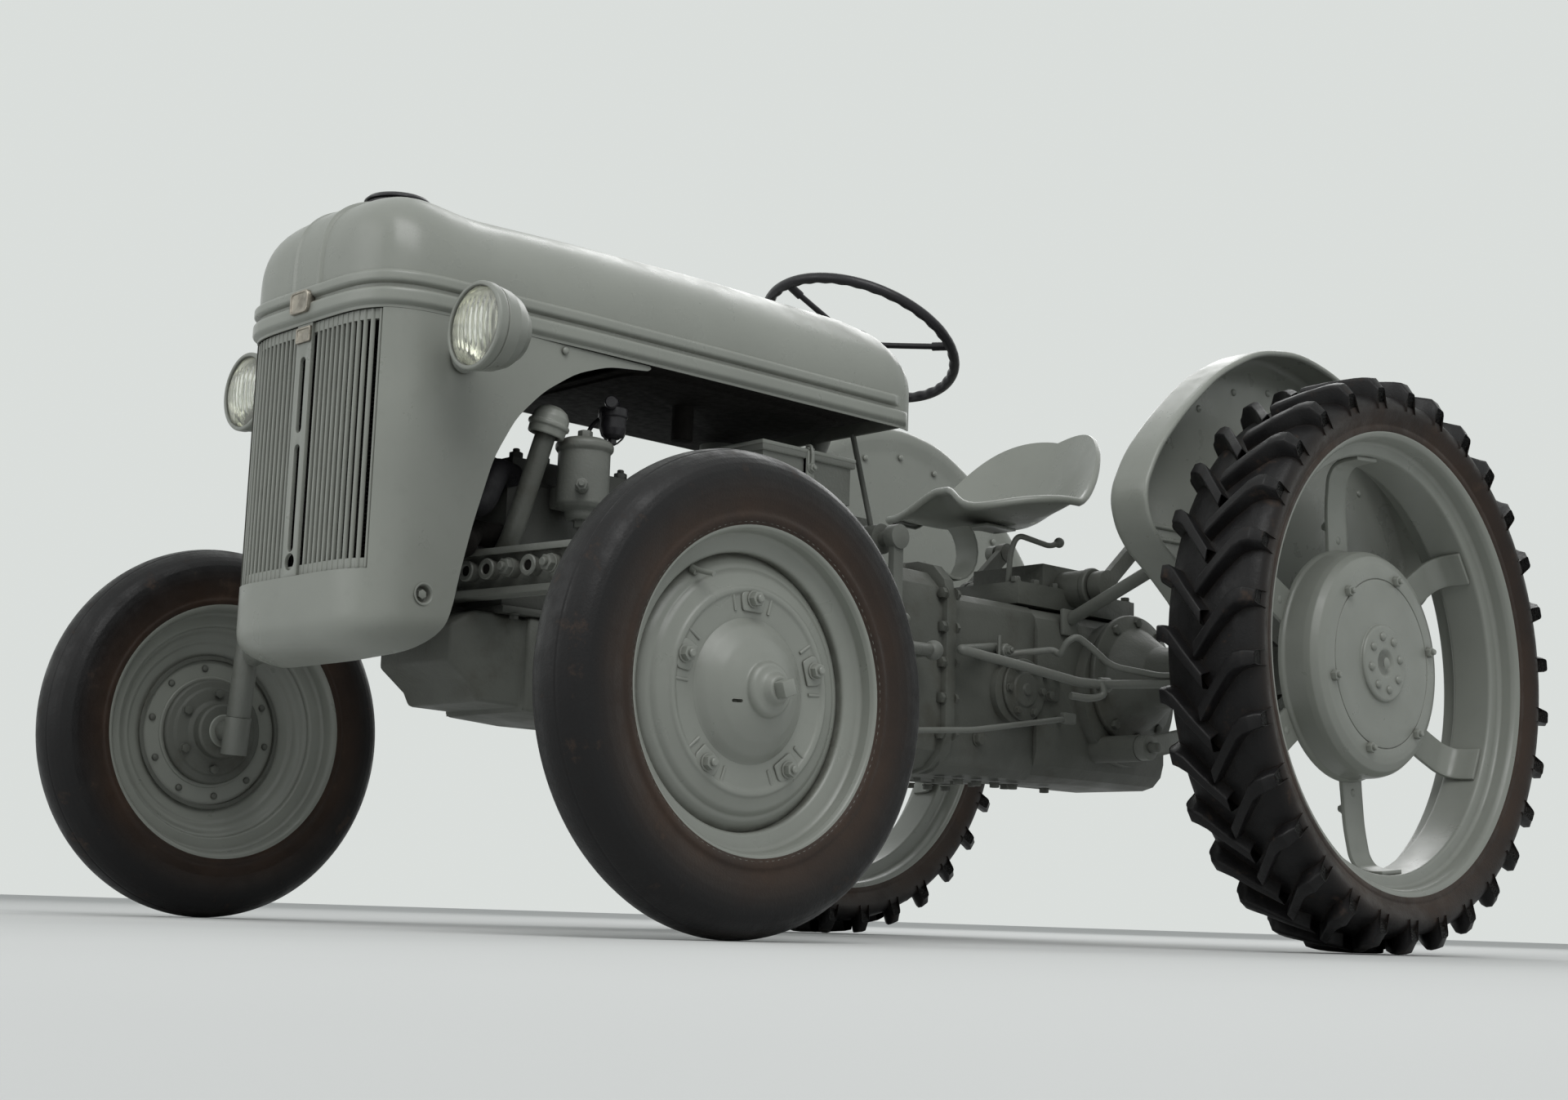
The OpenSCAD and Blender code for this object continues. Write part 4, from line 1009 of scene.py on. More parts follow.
class TRACTOR_OT_front_wheels(bpy.types.Operator):
    """Spin the front rims and discs, with embossed pads, nuts, hub cap and valve"""

    bl_idname = "tractor.front_wheels"
    bl_label = "Front wheels"

    def execute(self, context):
        for name, side in SIDES:
            place = hub(0, FRONT_Y, FRONT_Z, side)
            parts = [self.rim(), self.disc(), *self.pads(side), self.cap(side), self.barrel()]
            nut = hex_bolt(21, 13, True, 6)
            parts.append(repeated(nut, ring_of(5, 142, 29.5, -90 * side)))
            angle = math.radians(-side * 58)
            x, y = math.cos(angle), math.sin(angle)
            stem = tube("valve", [(r * x, r * y, z) for r, z in ((213, 10), (205, 22), (196, 52))],
                        4.2, 8, 4)
            nipple = drum("nipple", 6.5, 12, local((211 * x, 211 * y, 8), (-x, -y, 1.2)), 1, 16)
            wheel = joined(*parts, stem, nipple)
            finished(wheel, "front_disc_" + name, "wheel_front_" + name, "wheel_enamel",
                     ("front_wheel_" + name,), place)
            finished(self.inner_side(), "front_hub_" + name, "wheel_front_" + name, "casting_enamel",
                     (), place)
        return {"FINISHED"}

    def inner_side(self):
        """The rusted hub casting and the rings of rivets on the wheel's inner side."""
        casting = turned("casting", [(34, -42), (52, -42), (56, -38), (56, -18), (64, -10), (88, -6),
                                     (92, -2), (104, 0), (108, 4), (108, 12), (34, 12), (34, -42)], 64, 2)
        ring = turned("ring", [(150, 14), (158, 14), (159, 17), (154, 24), (149, 22), (150, 14)], 96, 1)
        inward = local((0, 0, 0), DOWN)
        rivets = repeated(round_head(7, 5), [turn @ inward for turn in ring_of(10, 132, 18, 9)])
        nuts = repeated(hex_bolt(17, 10), [turn @ inward for turn in ring_of(6, 78, -6, 30)])
        return joined(casting, ring, rivets, nuts)

    def rim(self):
        """The well between the tyre's beads, out one face and back along the other."""
        outer = [(247, 46), (250, 52), (256, 53), (259, 56), (263, 56.5), (264, 54), (262, 49), (259, 47),
                 (254, 47)]
        line = [(247, -46), (252, -53), (258, -56), (263, -56), (264, -52), (260, -49), (254, -48),
                (250, -44), (250, -22), (244, -17), (223, -14), (220, -10), (220, 8), (223, 12), (243, 17),
                (250, 24), (252, 44)]
        back = [(246, 44), (246, 26), (240, 21), (219, 16), (215, 11), (215, -13), (219, -18), (240, -21),
                (246, -26), (247, -46)]
        return turned("rim", eased(line + outer[::-1] + back, 3, 3), 120)

    def disc(self):
        """The stepped disc between the hub and the rim."""
        face = [(96, 18), (112, 24), (118, 24.5), (149, 26), (153, 29.5), (160, 30), (164, 26.5),
                (174, 23.5), (183, 21), (188, 17), (191, 14), (197, 13), (205, 8), (212, 1), (217, -4)]
        rear = [(217, -9), (210, -5), (203, 3), (195, 8), (188, 9), (182, 15), (166, 20), (158, 23),
                (138, 20), (118, 18), (96, 13), (96, 18)]
        return turned("disc", eased(face + rear, 4, 3), 120)

    def pads(self, side):
        """Raised seats under the nuts, with a bead that runs from one to the next."""
        half, inner, outer = 25, 122, 156
        outline = [(inner, 5 - half), (146, -half), (outer, 7 - half), (outer + 1, 0), (outer, half - 7),
                   (146, half), (inner, half - 5), (inner, 5 - half)]
        parts = []
        for turn in turns_of(5, -90 * side):
            pad = rounded(slab("pad", eased(outline, 5, 3), 4.5), 2.2, 3)
            parts.append(settle(pad, turn @ Matrix.Translation((0, 0, 24.5))))
            for flank in (-1, 1):
                a = math.radians(flank * 15.5)
                ends = [(r * math.cos(a), r * math.sin(a), 25.2) for r in (126, 158)]
                parts.append(settle(tube("flank", ends, 2.8, 0, 3), turn))
        return parts

    def cap(self, side):
        """The domed hub cap with its collar, grease cone, square tip and pry slot."""
        dome = turned("cap", [(0, 14), (114, 14), (116, 19), (114.5, 23), (110, 26), (100, 36), (80, 50),
                              (60, 60), (48, 65), (44, 67), (42, 74), (38, 79), (31, 81), (26, 84),
                              (19, 97), (0, 98)], 96, 4)
        cut(dome, block("pry", (16, 5, 30), (55, 21 * side, 66), 1.8))
        tip = block("tip", (26, 26, 28), (0, 0, 103), 3.5, (0, 0, math.radians(20)))
        return joined(dome, tip)

    def barrel(self):
        """The hub's bearing housing, seen from the inner side."""
        return turned("barrel", [(17, -44), (32, -44), (35, -41), (35, -20), (44, -10), (74, 4), (100, 10),
                                 (100, 17), (17, 17), (17, -44)], 56, 2)


class TRACTOR_OT_front_tyres(bpy.types.Operator):
    """Spin the worn front tyres, with what is left of a groove on each shoulder"""

    bl_idname = "tractor.front_tyres"
    bl_label = "Front tyres"

    def execute(self, context):
        outline = self.half(context.scene.tractor_sizes.rib_depth)
        whole = outline + [(r, -z) for r, z in reversed(outline)]
        for name, side in SIDES:
            tyre = turned("tyre", eased(whole + [whole[0]], 2.2, 3), 144)
            finished(tyre, "front_rubber_" + name, "wheel_front_" + name, "front_rubber",
                     ("front_tyre_" + name,), hub(0, FRONT_Y, FRONT_Z, side), 50)
        return {"FINISHED"}

    def half(self, groove):
        """Outline from the bead round to the crown."""
        return [(248, 44), (253, 52), (262, 57.5), (268, 58.5), (274, 56.5), (279, 57), (296, 61.5),
                (314, 63.5), (328, 62.5), (340, 60), (350, 55.5), (358.5, 48.5), (365, 40), (370.5, 30),
                (372.2, 26), (373.2 - groove, 24.5), (373.6 - groove, 23), (374.4, 21.5), (376.6, 13),
                (377.7, 6), (378, 0)]


# Rear wheels and tyres

LUGS = 30  # bars in each of the tyre's two rows
TYRE_R, BAR_R = 600, 590  # the tyre's outer radius, and where the bars' widths are measured


class TRACTOR_OT_rear_wheels(bpy.types.Operator):
    """Spin the rear rims and dished centres, with brackets, nuts and rivets"""

    bl_idname = "tractor.rear_wheels"
    bl_label = "Rear wheels"

    def execute(self, context):
        for name, side in SIDES:
            place = hub(REAR_X, REAR_Y, REAR_Z, side)
            rim = joined(self.rim(), *self.brackets(side))
            finished(rim, "rear_ring_" + name, "wheel_rear_" + name, "wheel_enamel",
                     ("rear_rim_" + name,), place)
            dish = joined(*self.dish(side))
            finished(dish, "rear_centre_" + name, "wheel_rear_" + name, "wheel_enamel",
                     ("rear_dish_" + name,), place)
        return {"FINISHED"}

    def rim(self):
        """The ring's section, with radii measured from its lip."""
        half = [(-20, 78), (-16, 88), (-8, 92.5), (-1, 92.5), (0.5, 88.5), (-4, 84), (-11, 82), (-15, 76),
                (-16, 52), (-23, 46), (-44, 42), (-45, 30)]
        outer = [(r, -z) for r, z in half] + half[::-1]
        inner = [(-21, 56), (-26, 50), (-47, 46), (-50, 40)]
        inner += [(r, -z) for r, z in inner[::-1]] + [(-20, -78)]
        return turned("ring", eased([(RIM_R + r, z) for r, z in outer + inner], 3.5, 3), 144)

    def brackets(self, side):
        """Six bent plates that carry the ring, each held by round-headed bolts."""
        seat = RIM_R - 50.5
        line = eased([(206, -57), (250, -57), (340, -55), (404, -46), (430, -28), (seat, 2), (seat, 34)],
                     26, 6)
        columns = []
        for k in range(9):
            across = -38 + 76 * k / 8
            column = []
            for i, p in enumerate(line):
                narrow = 1 - 0.06 * math.sin(math.pi * i / (len(line) - 1))
                column.append(Vector((p[0], across * narrow, p[1])))
            columns.append(column)
        plate = rounded(skin("bracket", columns, 9), 1.8, 2, 50)
        spokes = turns_of(6, -side * 25)
        bolts = [turn @ local((268, 0, -54)) for turn in spokes]
        nuts = [turn @ local((300, 0, -62), DOWN) for turn in spokes]
        rivets = [turn @ local((seat - 2, across, 18), (-1, 0, 0))
                  for turn in spokes for across in (-22, 22)]
        return [repeated(plate, spokes), repeated(round_head(13, 9), bolts),
                repeated(hex_bolt(24, 14, True, 8), nuts), repeated(round_head(8, 5), rivets)]

    def dish(self, side):
        """The dished centre with its nuts, hub rivets and the dimple in the middle."""
        outline = eased([(0, -150), (34, -150), (34, -44), (62, -44), (62, 24), (150, 24), (205, 20),
                         (222, 4), (231, -45), (198, -45), (198, -51.5), (247, -51.5), (245, -44),
                         (240, -38), (239, 4), (236, 18), (226, 32), (210, 38.5), (196, 40), (179, 40.8),
                         (178.2, 38.6), (177.2, 38.6), (176.4, 40.8), (150, 41), (82, 40), (81, 46),
                         (77, 49), (30, 49), (26, 46), (20, 40), (0, 36)], 2.5, 3)
        return [turned("dish", outline, 120),
                repeated(hex_bolt(20, 12, False, 7), ring_of(6, 188, 39.5, -side * 47)),
                turned("dimple", [(0, 48), (9, 48.5), (12, 51.5), (9, 53), (0, 54)], 32),
                repeated(round_head(9.5, 7.5), ring_of(8, 56, 48.5, 12))]


class TRACTOR_OT_rear_tyres(bpy.types.Operator):
    """Build the rear tyres: a carcass with two rows of long hooked bars"""

    bl_idname = "tractor.rear_tyres"
    bl_label = "Rear tyres"

    def execute(self, context):
        tread = TYRE_R - context.scene.tractor_sizes.lug_height
        for name, side in SIDES:
            carcass = self.carcass(tread)
            bars = [repeated(self.lug(hand, tread, side), turns_of(LUGS, hand * side * -90 / LUGS))
                    for hand in (-1, 1)]
            tyre = joined(carcass, *bars)
            finished(tyre, "rear_rubber_" + name, "wheel_rear_" + name, "rear_rubber",
                     ("rear_tyre_" + name,), hub(REAR_X, REAR_Y, REAR_Z, side), 40)
        return {"FINISHED"}

    def carcass(self, tread):
        """The tyre without its bars, from bead to bead."""
        half = [(RIM_R - 19, 78), (RIM_R - 14, 87), (RIM_R - 4, 93.5), (RIM_R + 4, 95), (RIM_R + 9, 94),
                (RIM_R + 13, 97), (RIM_R + 27, 105), (RIM_R + 41, 109.5), (542, 107), (551, 100),
                (tread - 12, 88), (tread - 5, 66), (tread - 1, 34), (tread, 0)]
        line = half + [(r, -z) for r, z in reversed(half[:-1])]
        return turned("carcass", eased(line + [line[0]], 6, 3), 132)

    def lug(self, hand, tread, side):
        """One bar: a straight run from the middle, bent square across the shoulder."""
        # Lean round the tyre, place across it, half widths at base and top, and their radii
        rows = [(-61, -8, 20, 13.5, tread - 4, 598.8), (-12, 33, 20, 13.5, tread - 6, 599),
                (26, 65, 21, 14.5, tread - 10, 598.8), (37, 82, 20, 15, tread - 22, 597.5),
                (40, 97, 19, 14, 540, 594), (41, 104, 19, 13, 532, 583), (41.5, 113, 18, 11, 524, 570)]
        columns = []
        for lean, along, base, top, floor, crown in rows:
            ring = []
            slope = [(base, floor), (top + 2, crown - 7), (top, crown - 1.5), (top - 2.5, crown)]
            for across, radius in [(-width, radius) for width, radius in slope] + slope[::-1]:
                angle = (across - lean * side) / BAR_R
                ring.append(Vector((radius * math.cos(angle), radius * math.sin(angle), hand * along)))
            columns.append(ring)
        bar = skin("lug", columns)
        open_up(bar, "EDGE")
        bpy.ops.mesh.select_non_manifold()
        bpy.ops.mesh.edge_face_add()
        close_up(0.01, True)
        return rounded(bar, 1.6, 2, 40)


# Castings and the parts kept from the CAD frame

# Finish, material slot, and the nodes with the rounding of their edges in millimetres
CASTINGS = (
    ("engine_enamel", "engine_iron", {"engine_block": 4, "exhaust": 2}),
    ("casting_enamel", "engine_iron", {"oil_pan": 9}),
    ("rod_enamel", "body_paint", {"air_cleaner": 3}),
    ("soot_black_and_shade", "black_trim", {"radiator": 3}),
    # the fuel tank's own finish is iron paint; near-black here is painted shade under the hood
    ("soot_black_and_shade", "iron_paint", {"fuel_tank": 5}),
    ("wheel_enamel", "body_paint", {"seat_spring": 1.2}),
    ("casting_enamel", "iron_paint", {
        "transmission_case": 4, "rear_housing": 4, "axle_trumpets": 3, "lift_cover": 5,
        "steering_box": 3, "lift_arms": 2}),
    ("rod_enamel", "iron_paint", {
        "battery_box": 3, "front_axle": 2.5, "radius_rods": 2, "knuckle_left": 2,
        "knuckle_right": 2, "pitman_left": 2, "pitman_right": 2, "drag_link_left": 1,
        "drag_link_right": 1, "lift_rod_left": 1, "lift_rod_right": 1, "lower_link_left": 2,
        "lower_link_right": 2}),
)


def body_of_node(node):
    for body, nodes in frame["record"]["behaviour"]["bodies"].items():
        if node in nodes:
            return body
    raise ValueError("no body holds " + node)


class TRACTOR_OT_castings(bpy.types.Operator):
    """Ease the edges of the castings and rods, and paint them"""

    bl_idname = "tractor.castings"
    bl_label = "Castings and rods"

    def execute(self, context):
        for coat, slot, widths in CASTINGS:
            for node, width in widths.items():
                softened(node, body_of_node(node), coat, width)
        return {"FINISHED"}


ENGINE_X, ENGINE_HALF, BLOCK_TOP, HEAD_TOP = -300, 120, 800, 851
BLOCK_MID, SUMP_Z = 690, 566  # the middle of the block's side, and the joint with the oil pan
BATTERY_X = -723
CASE_JOINT, CASE_HALF, CASE_LOW = -1177, 150, 348
BEAM_X, BEAM_Z, BEAM_HALF, BEAM_TURN = 36, 622, 12, math.atan(60 / 400)


def heads(name, coat, places, across=19.0, height=11.0, tip=0.0):
    """Hexagon heads at the places, as one piece on the chassis."""
    return fixed(repeated(hex_bolt(across, height, True, tip), places), name, coat, "iron_paint")


class TRACTOR_OT_engine_bay(bpy.types.Operator):
    """Dress the engine: breather, oil filter, sediment bowl, hoses, head nuts and battery lid"""

    bl_idname = "tractor.engine_bay"
    bl_label = "Engine bay"

    def execute(self, context):
        self.breather()
        self.oil_filter()
        self.bowl()
        self.hoses()
        self.block()
        self.battery()
        self.beam()
        return {"FINISHED"}

    def breather(self):
        """The oil filler's leaning pipe and its cap."""
        foot, top = Vector((-34, 152, 700)), Vector((-68, 190, 884))
        lean = (top - foot).normalized()
        pipe = tube("pipe", [(-34, 128, 668), foot, top + lean * 16], 19, 24, 10)
        cap = turned("cap", [(0, 18), (29, 18), (31, -5), (36, -7), (38.5, -4), (39, 10), (43.5, 13),
                             (43.5, 20), (39.5, 23), (38, 35), (30, 48), (16, 56), (0, 58)], 56, 2)
        settle(cap, local(top, lean) @ Matrix.Scale(0.88, 4))
        fixed(pipe, "breather_pipe", "casting_enamel", "iron_paint", "breather")
        fixed(cap, "breather_cap", "wheel_enamel", "body_paint")

    def oil_filter(self):
        """The filter's can with its cap nut, drain and outlet."""
        x, y = -160, 186
        can = turned("can", [(0, 736), (27, 736), (31, 742), (32, 752), (43, 757), (48, 765), (48, 861),
                             (51, 864), (53.5, 868), (53.5, 876), (50, 881), (38, 887), (16, 890),
                             (0, 890)], 64, 2.5)
        settle(can, Matrix.Translation((x, y, 0)))
        aside = (0.64, 0.77, 0)
        pad = block("pad", (52, 44, 40), (x, y - 44, 782), 4)
        cap, drain = nut_at((x, y, 889), UP, 24, 15), nut_at((x, y, 737), DOWN, 26, 14, True, 9)
        outlet = drum("outlet", 12, 26, local((x + 30, y + 36, 790), aside), 2)
        union = nut_at((x + 45, y + 54, 790), aside, 20, 12, False, 6)
        fixed(joined(can, pad, cap, drain, outlet, union), "oil_filter_can", "rod_enamel", "iron_paint",
              "oil_filter")

    def bowl(self):
        """The fuel sediment bowl under the tank, with its wire bail and tap."""
        x, y = -240, 165
        bowl = turned("bowl", [(0, 905), (12, 905), (21, 911), (25, 924), (25, 944), (28, 946), (28, 962),
                               (14, 966), (10, 980), (0, 980)], 40, 1.5)
        settle(bowl, Matrix.Translation((x, y, 0)))
        bail = tube("bail", [(x - 29, y, 952), (x - 30, y, 915), (x - 9, y, 896), (x + 9, y, 896),
                             (x + 30, y, 915), (x + 29, y, 952)], 1.7, 12, 4)
        screw = drum("screw", 8, 12, local((x, y, 894)), 1.5, 20)
        tap = drum("tap", 12, 16, local((x + 24, y + 22, 966), (0.6, 0.8, 0)), 2, 24)
        pipe = tube("fuel_pipe", [(x, y - 14, 956), (x + 10, y - 50, 940), (x + 30, y - 60, 880),
                                  (x + 30, 112, 790)], 4, 20, 5)
        fixed(joined(bowl, bail, screw, tap, pipe), "sediment_bowl", "trim_black", "black_trim")

    def hoses(self):
        """The two water hoses between the radiator and the engine, with their clips."""
        lower = tube("lower_hose", [(128, 150, 742), (92, 156, 742), (44, 158, 738), (18, 150, 790),
                                    (-8, 124, 812), (-60, 100, 812)], 26, 34, 12)
        upper = tube("upper_hose", [(128, 0, 985), (70, 0, 990), (10, 0, 940), (-70, 0, 846)], 25, 60, 12)
        clips = [drum("clip", 28.5, 12, local(at, along), 1, 40)
                 for at, along in (((100, 155, 742), (1, 0, 0)), ((108, 0, 987), (1, 0, 0)))]
        fixed(joined(lower, upper, *clips), "water_hoses", "hose_black", "black_trim")

    def block(self):
        """Head nuts, plugs in the block's side, the pan's flange and its bolts."""
        nuts = [local((x, side * 78, HEAD_TOP)) for x in range(-520, -70, 62) for side in (-1, 0, 1)]
        heads("head_nuts", "engine_enamel", nuts, 22, 15, 7)
        plugs = [local((x, side * ENGINE_HALF, BLOCK_MID), (0, side, 0))
                 for x in (-430, -330) for side in (-1, 1)]
        plug = turned("plug", [(0, -2), (26, -2), (27, 3), (22, 3), (20, 0.5), (0, 1.5)], 40)
        fixed(repeated(plug, plugs), "core_plugs", "engine_enamel", "engine_iron")
        flange = block("flange", (530, 262, 14), (ENGINE_X, 0, SUMP_Z), 2.5)
        sides = [local((x, side * 126, SUMP_Z - 7), DOWN) for x in range(-540, -60, 68) for side in (-1, 1)]
        bolts = repeated(hex_bolt(16, 10), sides)
        ribs = [block("rib", (9, 10, 200), (x, side * 124, BLOCK_MID), 2.5)
                for x in (-505, -390, -270) for side in (-1, 1)]
        lip = block("lip", (500, 222, 12), (ENGINE_X, 0, BLOCK_TOP + 4), 2.5)
        plug = nut_at((-430, 60, 381), DOWN, 30, 16)
        fixed(joined(flange, bolts, lip, plug, *ribs), "block_trim", "engine_enamel", "engine_iron")

    def battery(self):
        """The battery box's lid, held by a strap and a hook."""
        lid = block("lid", (262, 187, 9), (BATTERY_X + 0.5, 105, 960), 3)
        skirt = block("skirt", (258, 183, 12), (BATTERY_X + 0.5, 105, 950), 1.5)
        strap = [block("strap", (20, 3, 96), (BATTERY_X, y, 912), 1) for y in (10.5, 198.5)]
        strap.append(block("strap", (20, 190, 3), (BATTERY_X, 104.5, 965.5), 1))
        bend = [(BATTERY_X, y, z) for y, z in ((201, 925), (204, 950), (199, 972), (186, 972))]
        hook = tube("hook", bend, 3.4, 8, 5)
        nut = nut_at((BATTERY_X, 200.5, 925), (0, 1, 0), 15, 9, True, 5)
        fixed(joined(lid, skirt, hook, nut, *strap), "battery_lid", "wheel_enamel", "iron_paint")

    def beam(self):
        """Rings around the beam's holes, thin near-black discs as painted shade in the holes, and the two
        bolts in use.
        """
        rings, holes, bolts = [], [], []
        for side in (-1, 1):
            for k, y in enumerate(range(110, 365, 51)):
                ahead, across = math.cos(BEAM_TURN), math.sin(BEAM_TURN)
                along = Vector((ahead, side * across, 0))
                at = Vector((BEAM_X + BEAM_HALF * ahead - y * across,
                             side * (y * ahead + BEAM_HALF * across), BEAM_Z + 4))
                if k in (2, 4):
                    bolts.append(local(at, along))
                else:
                    rings.append(local(at, along))
                    holes.append(local(at + along * 0.4, along))
        boss = turned("ring", [(9.5, -2), (18.5, -2), (19, 3), (17, 5.5), (11, 5.5), (9.5, 3.5), (9.5, -2)],
                      32)
        heads("beam_bolts", "rod_enamel", bolts, 26, 14, 8)
        fixed(repeated(boss, rings), "beam_rings", "rod_enamel", "iron_paint")
        # painted shade: a thin near-black disc sits in each hole for the shade inside it
        hole = drum("hole", 9.4, 1.2, None, 0.2, 24)
        fixed(repeated(hole, holes), "beam_hole_shade", "soot_black_and_shade", "black_trim")


# Name, radius, radius of the bends, roundness and points of the left side's rods
CONTROL_RODS = (
    ("foot_bar", 10.5, 9, 7, ((-1351, 146, 635), (-1162, 215, 606), (-1303, 262, 583),
                              (-1439, 308, 558), (-1500, 327, 557))),
    ("foot_tail", 9.5, 30, 7, ((-1486, 322, 557), (-1530, 340, 560), (-1606, 400, 564),
                               (-1742, 482, 584))),
    ("brake_rod", 7.5, 22, 6, ((-1350, 148, 618), (-1352, 190, 618), (-1438, 240, 632),
                               (-1439, 258, 619), (-1440, 277, 650), (-1456, 292, 660),
                               (-1479, 304, 643), (-1524, 332, 599), (-1615, 404, 581),
                               (-1745, 486, 612))),
    ("lower_rod", 6.5, 24, 6, ((-880, 150, 413), (-880, 196, 413), (-1220, 204, 441),
                               (-1530, 208, 491), (-1556, 150, 494))),
    ("hook", 8, 16, 6, ((-1492, 330, 562), (-1500, 334, 534), (-1470, 316, 524),
                        (-1424, 300, 528))),
)


class TRACTOR_OT_drive_line(bpy.types.Operator):
    """Fasten the drive line: flange bolts, covers, caps, control rods and the fender stays"""

    bl_idname = "tractor.drive_line"
    bl_label = "Drive line"

    def execute(self, context):
        self.fasteners()
        self.covers()
        self.rods()
        self.stays()
        return {"FINISHED"}

    def fasteners(self):
        """The bolts of the case's joint, its top, the axle trumpets and the underside."""
        flange = [local((CASE_JOINT + way * 14, side * (CASE_HALF + 17), z), (way, 0, 0))
                  for z in (430, 506, 582, 658, 730) for side in (-1, 1) for way in (-1, 1)]
        heads("flange_bolts", "casting_enamel", flange, 21, 13)
        top = [local((x, side * 120, 795)) for x in range(-1845, -1440, 66) for side in (-1, 1)]
        top += [local((x, side * 60, 790)) for x in (-620, -760, -900, -1060, -1140) for side in (-1, 1)]
        heads("top_bolts", "casting_enamel", top, 19, 12)
        rim = [local((REAR_X, side * 201, REAR_Z), (0, side, 0)) @ turn
               for side in (-1, 1) for turn in ring_of(10, 133, 0, 18)]
        heads("trumpet_bolts", "casting_enamel", rim, 21, 13)
        under = [local((x, y, CASE_LOW - 4), DOWN)
                 for x in range(-1230, -1480, -60) for y in (-100, 100)]
        under += [local((x, 0, 352), DOWN) for x in (-640, -760, -1560, -1700)]
        heads("bottom_bolts", "casting_enamel", under, 19, 11)

    def covers(self):
        """Round covers, pads, collars and plugs on the sides of the case."""
        parts = []
        for side in (-1, 1):
            out = local((-1423, side * 166, 547), (0, side, 0))
            cover = turned("cover", [(0, 0), (69, 0), (69, 6), (66, 8), (40, 8), (36, 12), (14, 13),
                                     (12, 18), (0, 18)], 56, 1.5)
            parts.append(settle(cover, out))
            parts.append(repeated(hex_bolt(15, 9), [out @ turn for turn in ring_of(6, 55, 8, 0)]))
            end = local((-1640, side * 190.3, 800), (0, side, 0))
            collar = turned("collar", [(24, -14), (44, -14), (45, -11), (45, 0), (42, 3), (24, 3),
                                       (24, -14)], 48, 1.5)
            parts.append(settle(collar, end))
            parts.append(block("pad", (74, 8, 70), (-1512, side * 163, 566), 4))
            screws = [local((-1512 + dx, side * 167, 566 + dz), (0, side, 0))
                      for dx, dz in ((-22, 24), (20, 22), (0, -24))]
            parts.append(repeated(hex_bolt(17, 11), screws))
            parts.append(nut_at((-1295, side * 151, 430), (0, side, 0), 26, 14))
        fixed(joined(*parts), "case_covers", "casting_enamel", "iron_paint")

    def rods(self):
        """Foot bars, the arched brake rods, the long lower rods and the draft control lever."""
        parts = []
        for side in (-1, 1):
            parts += [tube(name, [(x, side * y, z) for x, y, z in points], radius, bend, sides)
                      for name, radius, bend, sides, points in CONTROL_RODS]
            parts += [drum("eye", 16, 30, local((-1498, side * 316, 558), (-0.93, side * 0.36, 0)), 3),
                      drum("collar", 15, 24, local((-1351, side * 160, 626), (0, side, 0)), 3),
                      drum("pin", 4, 46, local((-1336, side * 172, 612)), 1, 16),
                      block("clevis", (40, 17, 24), (-1530, side * 207, 491), 3),
                      nut_at((-1351, side * 184, 626), (0, side, 0), 17, 10, True, 5)]
        fixed(joined(*parts), "control_rods", "rod_enamel", "iron_paint", "foot_controls")
        lever = tube("lever", [(-1450, 96, 792), (-1432, 118, 862), (-1440, 130, 900), (-1530, 150, 884),
                               (-1556, 152, 894)], 6.5, 22, 6)
        clear()
        bpy.ops.mesh.primitive_uv_sphere_add(radius=12, location=(-1560, 152, 896), segments=28,
                                             ring_count=14)
        ball = fresh("ball")
        fixed(joined(lever, ball), "draft_lever", "rod_enamel", "iron_paint")

    def stays(self):
        """Struts from the rear housing up to the fenders, with flattened ends and bolts."""
        parts = []
        for side in (-1, 1):
            low, high = Vector((-1585, side * 168, 722)), Vector((-1560, side * 556, 868))
            out = Vector((0, side, 0))
            along = (high - low).normalized()
            parts += [tube("stay", [low, high - along * 20], 15, 0, 8),
                      block("foot", (56, 12, 60), low - Vector((0, side * 4, 8)), 4),
                      block("tab", (60, 8, 50), high - out, 3),
                      nut_at(high - out * 5, -out, 19, 11)]
        fixed(joined(*parts), "fender_stays", "rod_enamel", "iron_paint")


COLUMN_TOP, COLUMN_TILT = (-1054, 0, 1293), math.radians(24.5)


class TRACTOR_OT_steering_wheel(bpy.types.Operator):
    """Sweep the steering wheel: a finger-gripped rim on three steel spokes"""

    bl_idname = "tractor.steering_wheel"
    bl_label = "Steering wheel"

    def execute(self, context):
        low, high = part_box("steering_wheel")
        radius = (high.y - low.y) / 2 / MM - 12
        grips, steps = 36, 432
        columns = []
        for i in range(steps + 1):
            a = math.tau * i / steps
            inner = 1.1 * math.cos(grips * a)
            column = []
            for k in range(17):
                b = math.tau * k / 16
                r = 11.4 + inner * max(0.0, -math.cos(b)) ** 0.5
                column.append(Vector(((radius + r * math.cos(b)) * math.cos(a),
                                      (radius + r * math.cos(b)) * math.sin(a), r * math.sin(b))))
            columns.append(column)
        rim = skin("rim", columns)
        open_up(rim)
        close_up(0.01, True)
        parts = [rim]
        for turn in turns_of(3, -8):
            spoke = tube("spoke", [(16, 0, -12), (90, 0, -9), (radius - 26, 0, -3), (radius - 4, 0, 0)],
                         6.5, 40, 6)
            parts.append(settle(spoke, turn))
            parts.append(settle(tube("sleeve", [(radius - 40, 0, -4), (radius - 4, 0, 0)], 9.5, 0, 7),
                                turn))
        parts.append(turned("boss", [(0, -60), (16, -60), (16, -26), (25, -22), (27, -16), (27, 0), (22, 6),
                                     (12, 7), (0, 7)], 48, 2))
        parts.append(settle(hex_bolt(24, 12, True, 4), Matrix.Translation((0, 0, 5))))
        finished(joined(*parts), "steering_ring", "steering_wheel", "trim_black",
                 ("steering_wheel",), spot(*COLUMN_TOP, (0, -COLUMN_TILT, 0)))
        return {"FINISHED"}


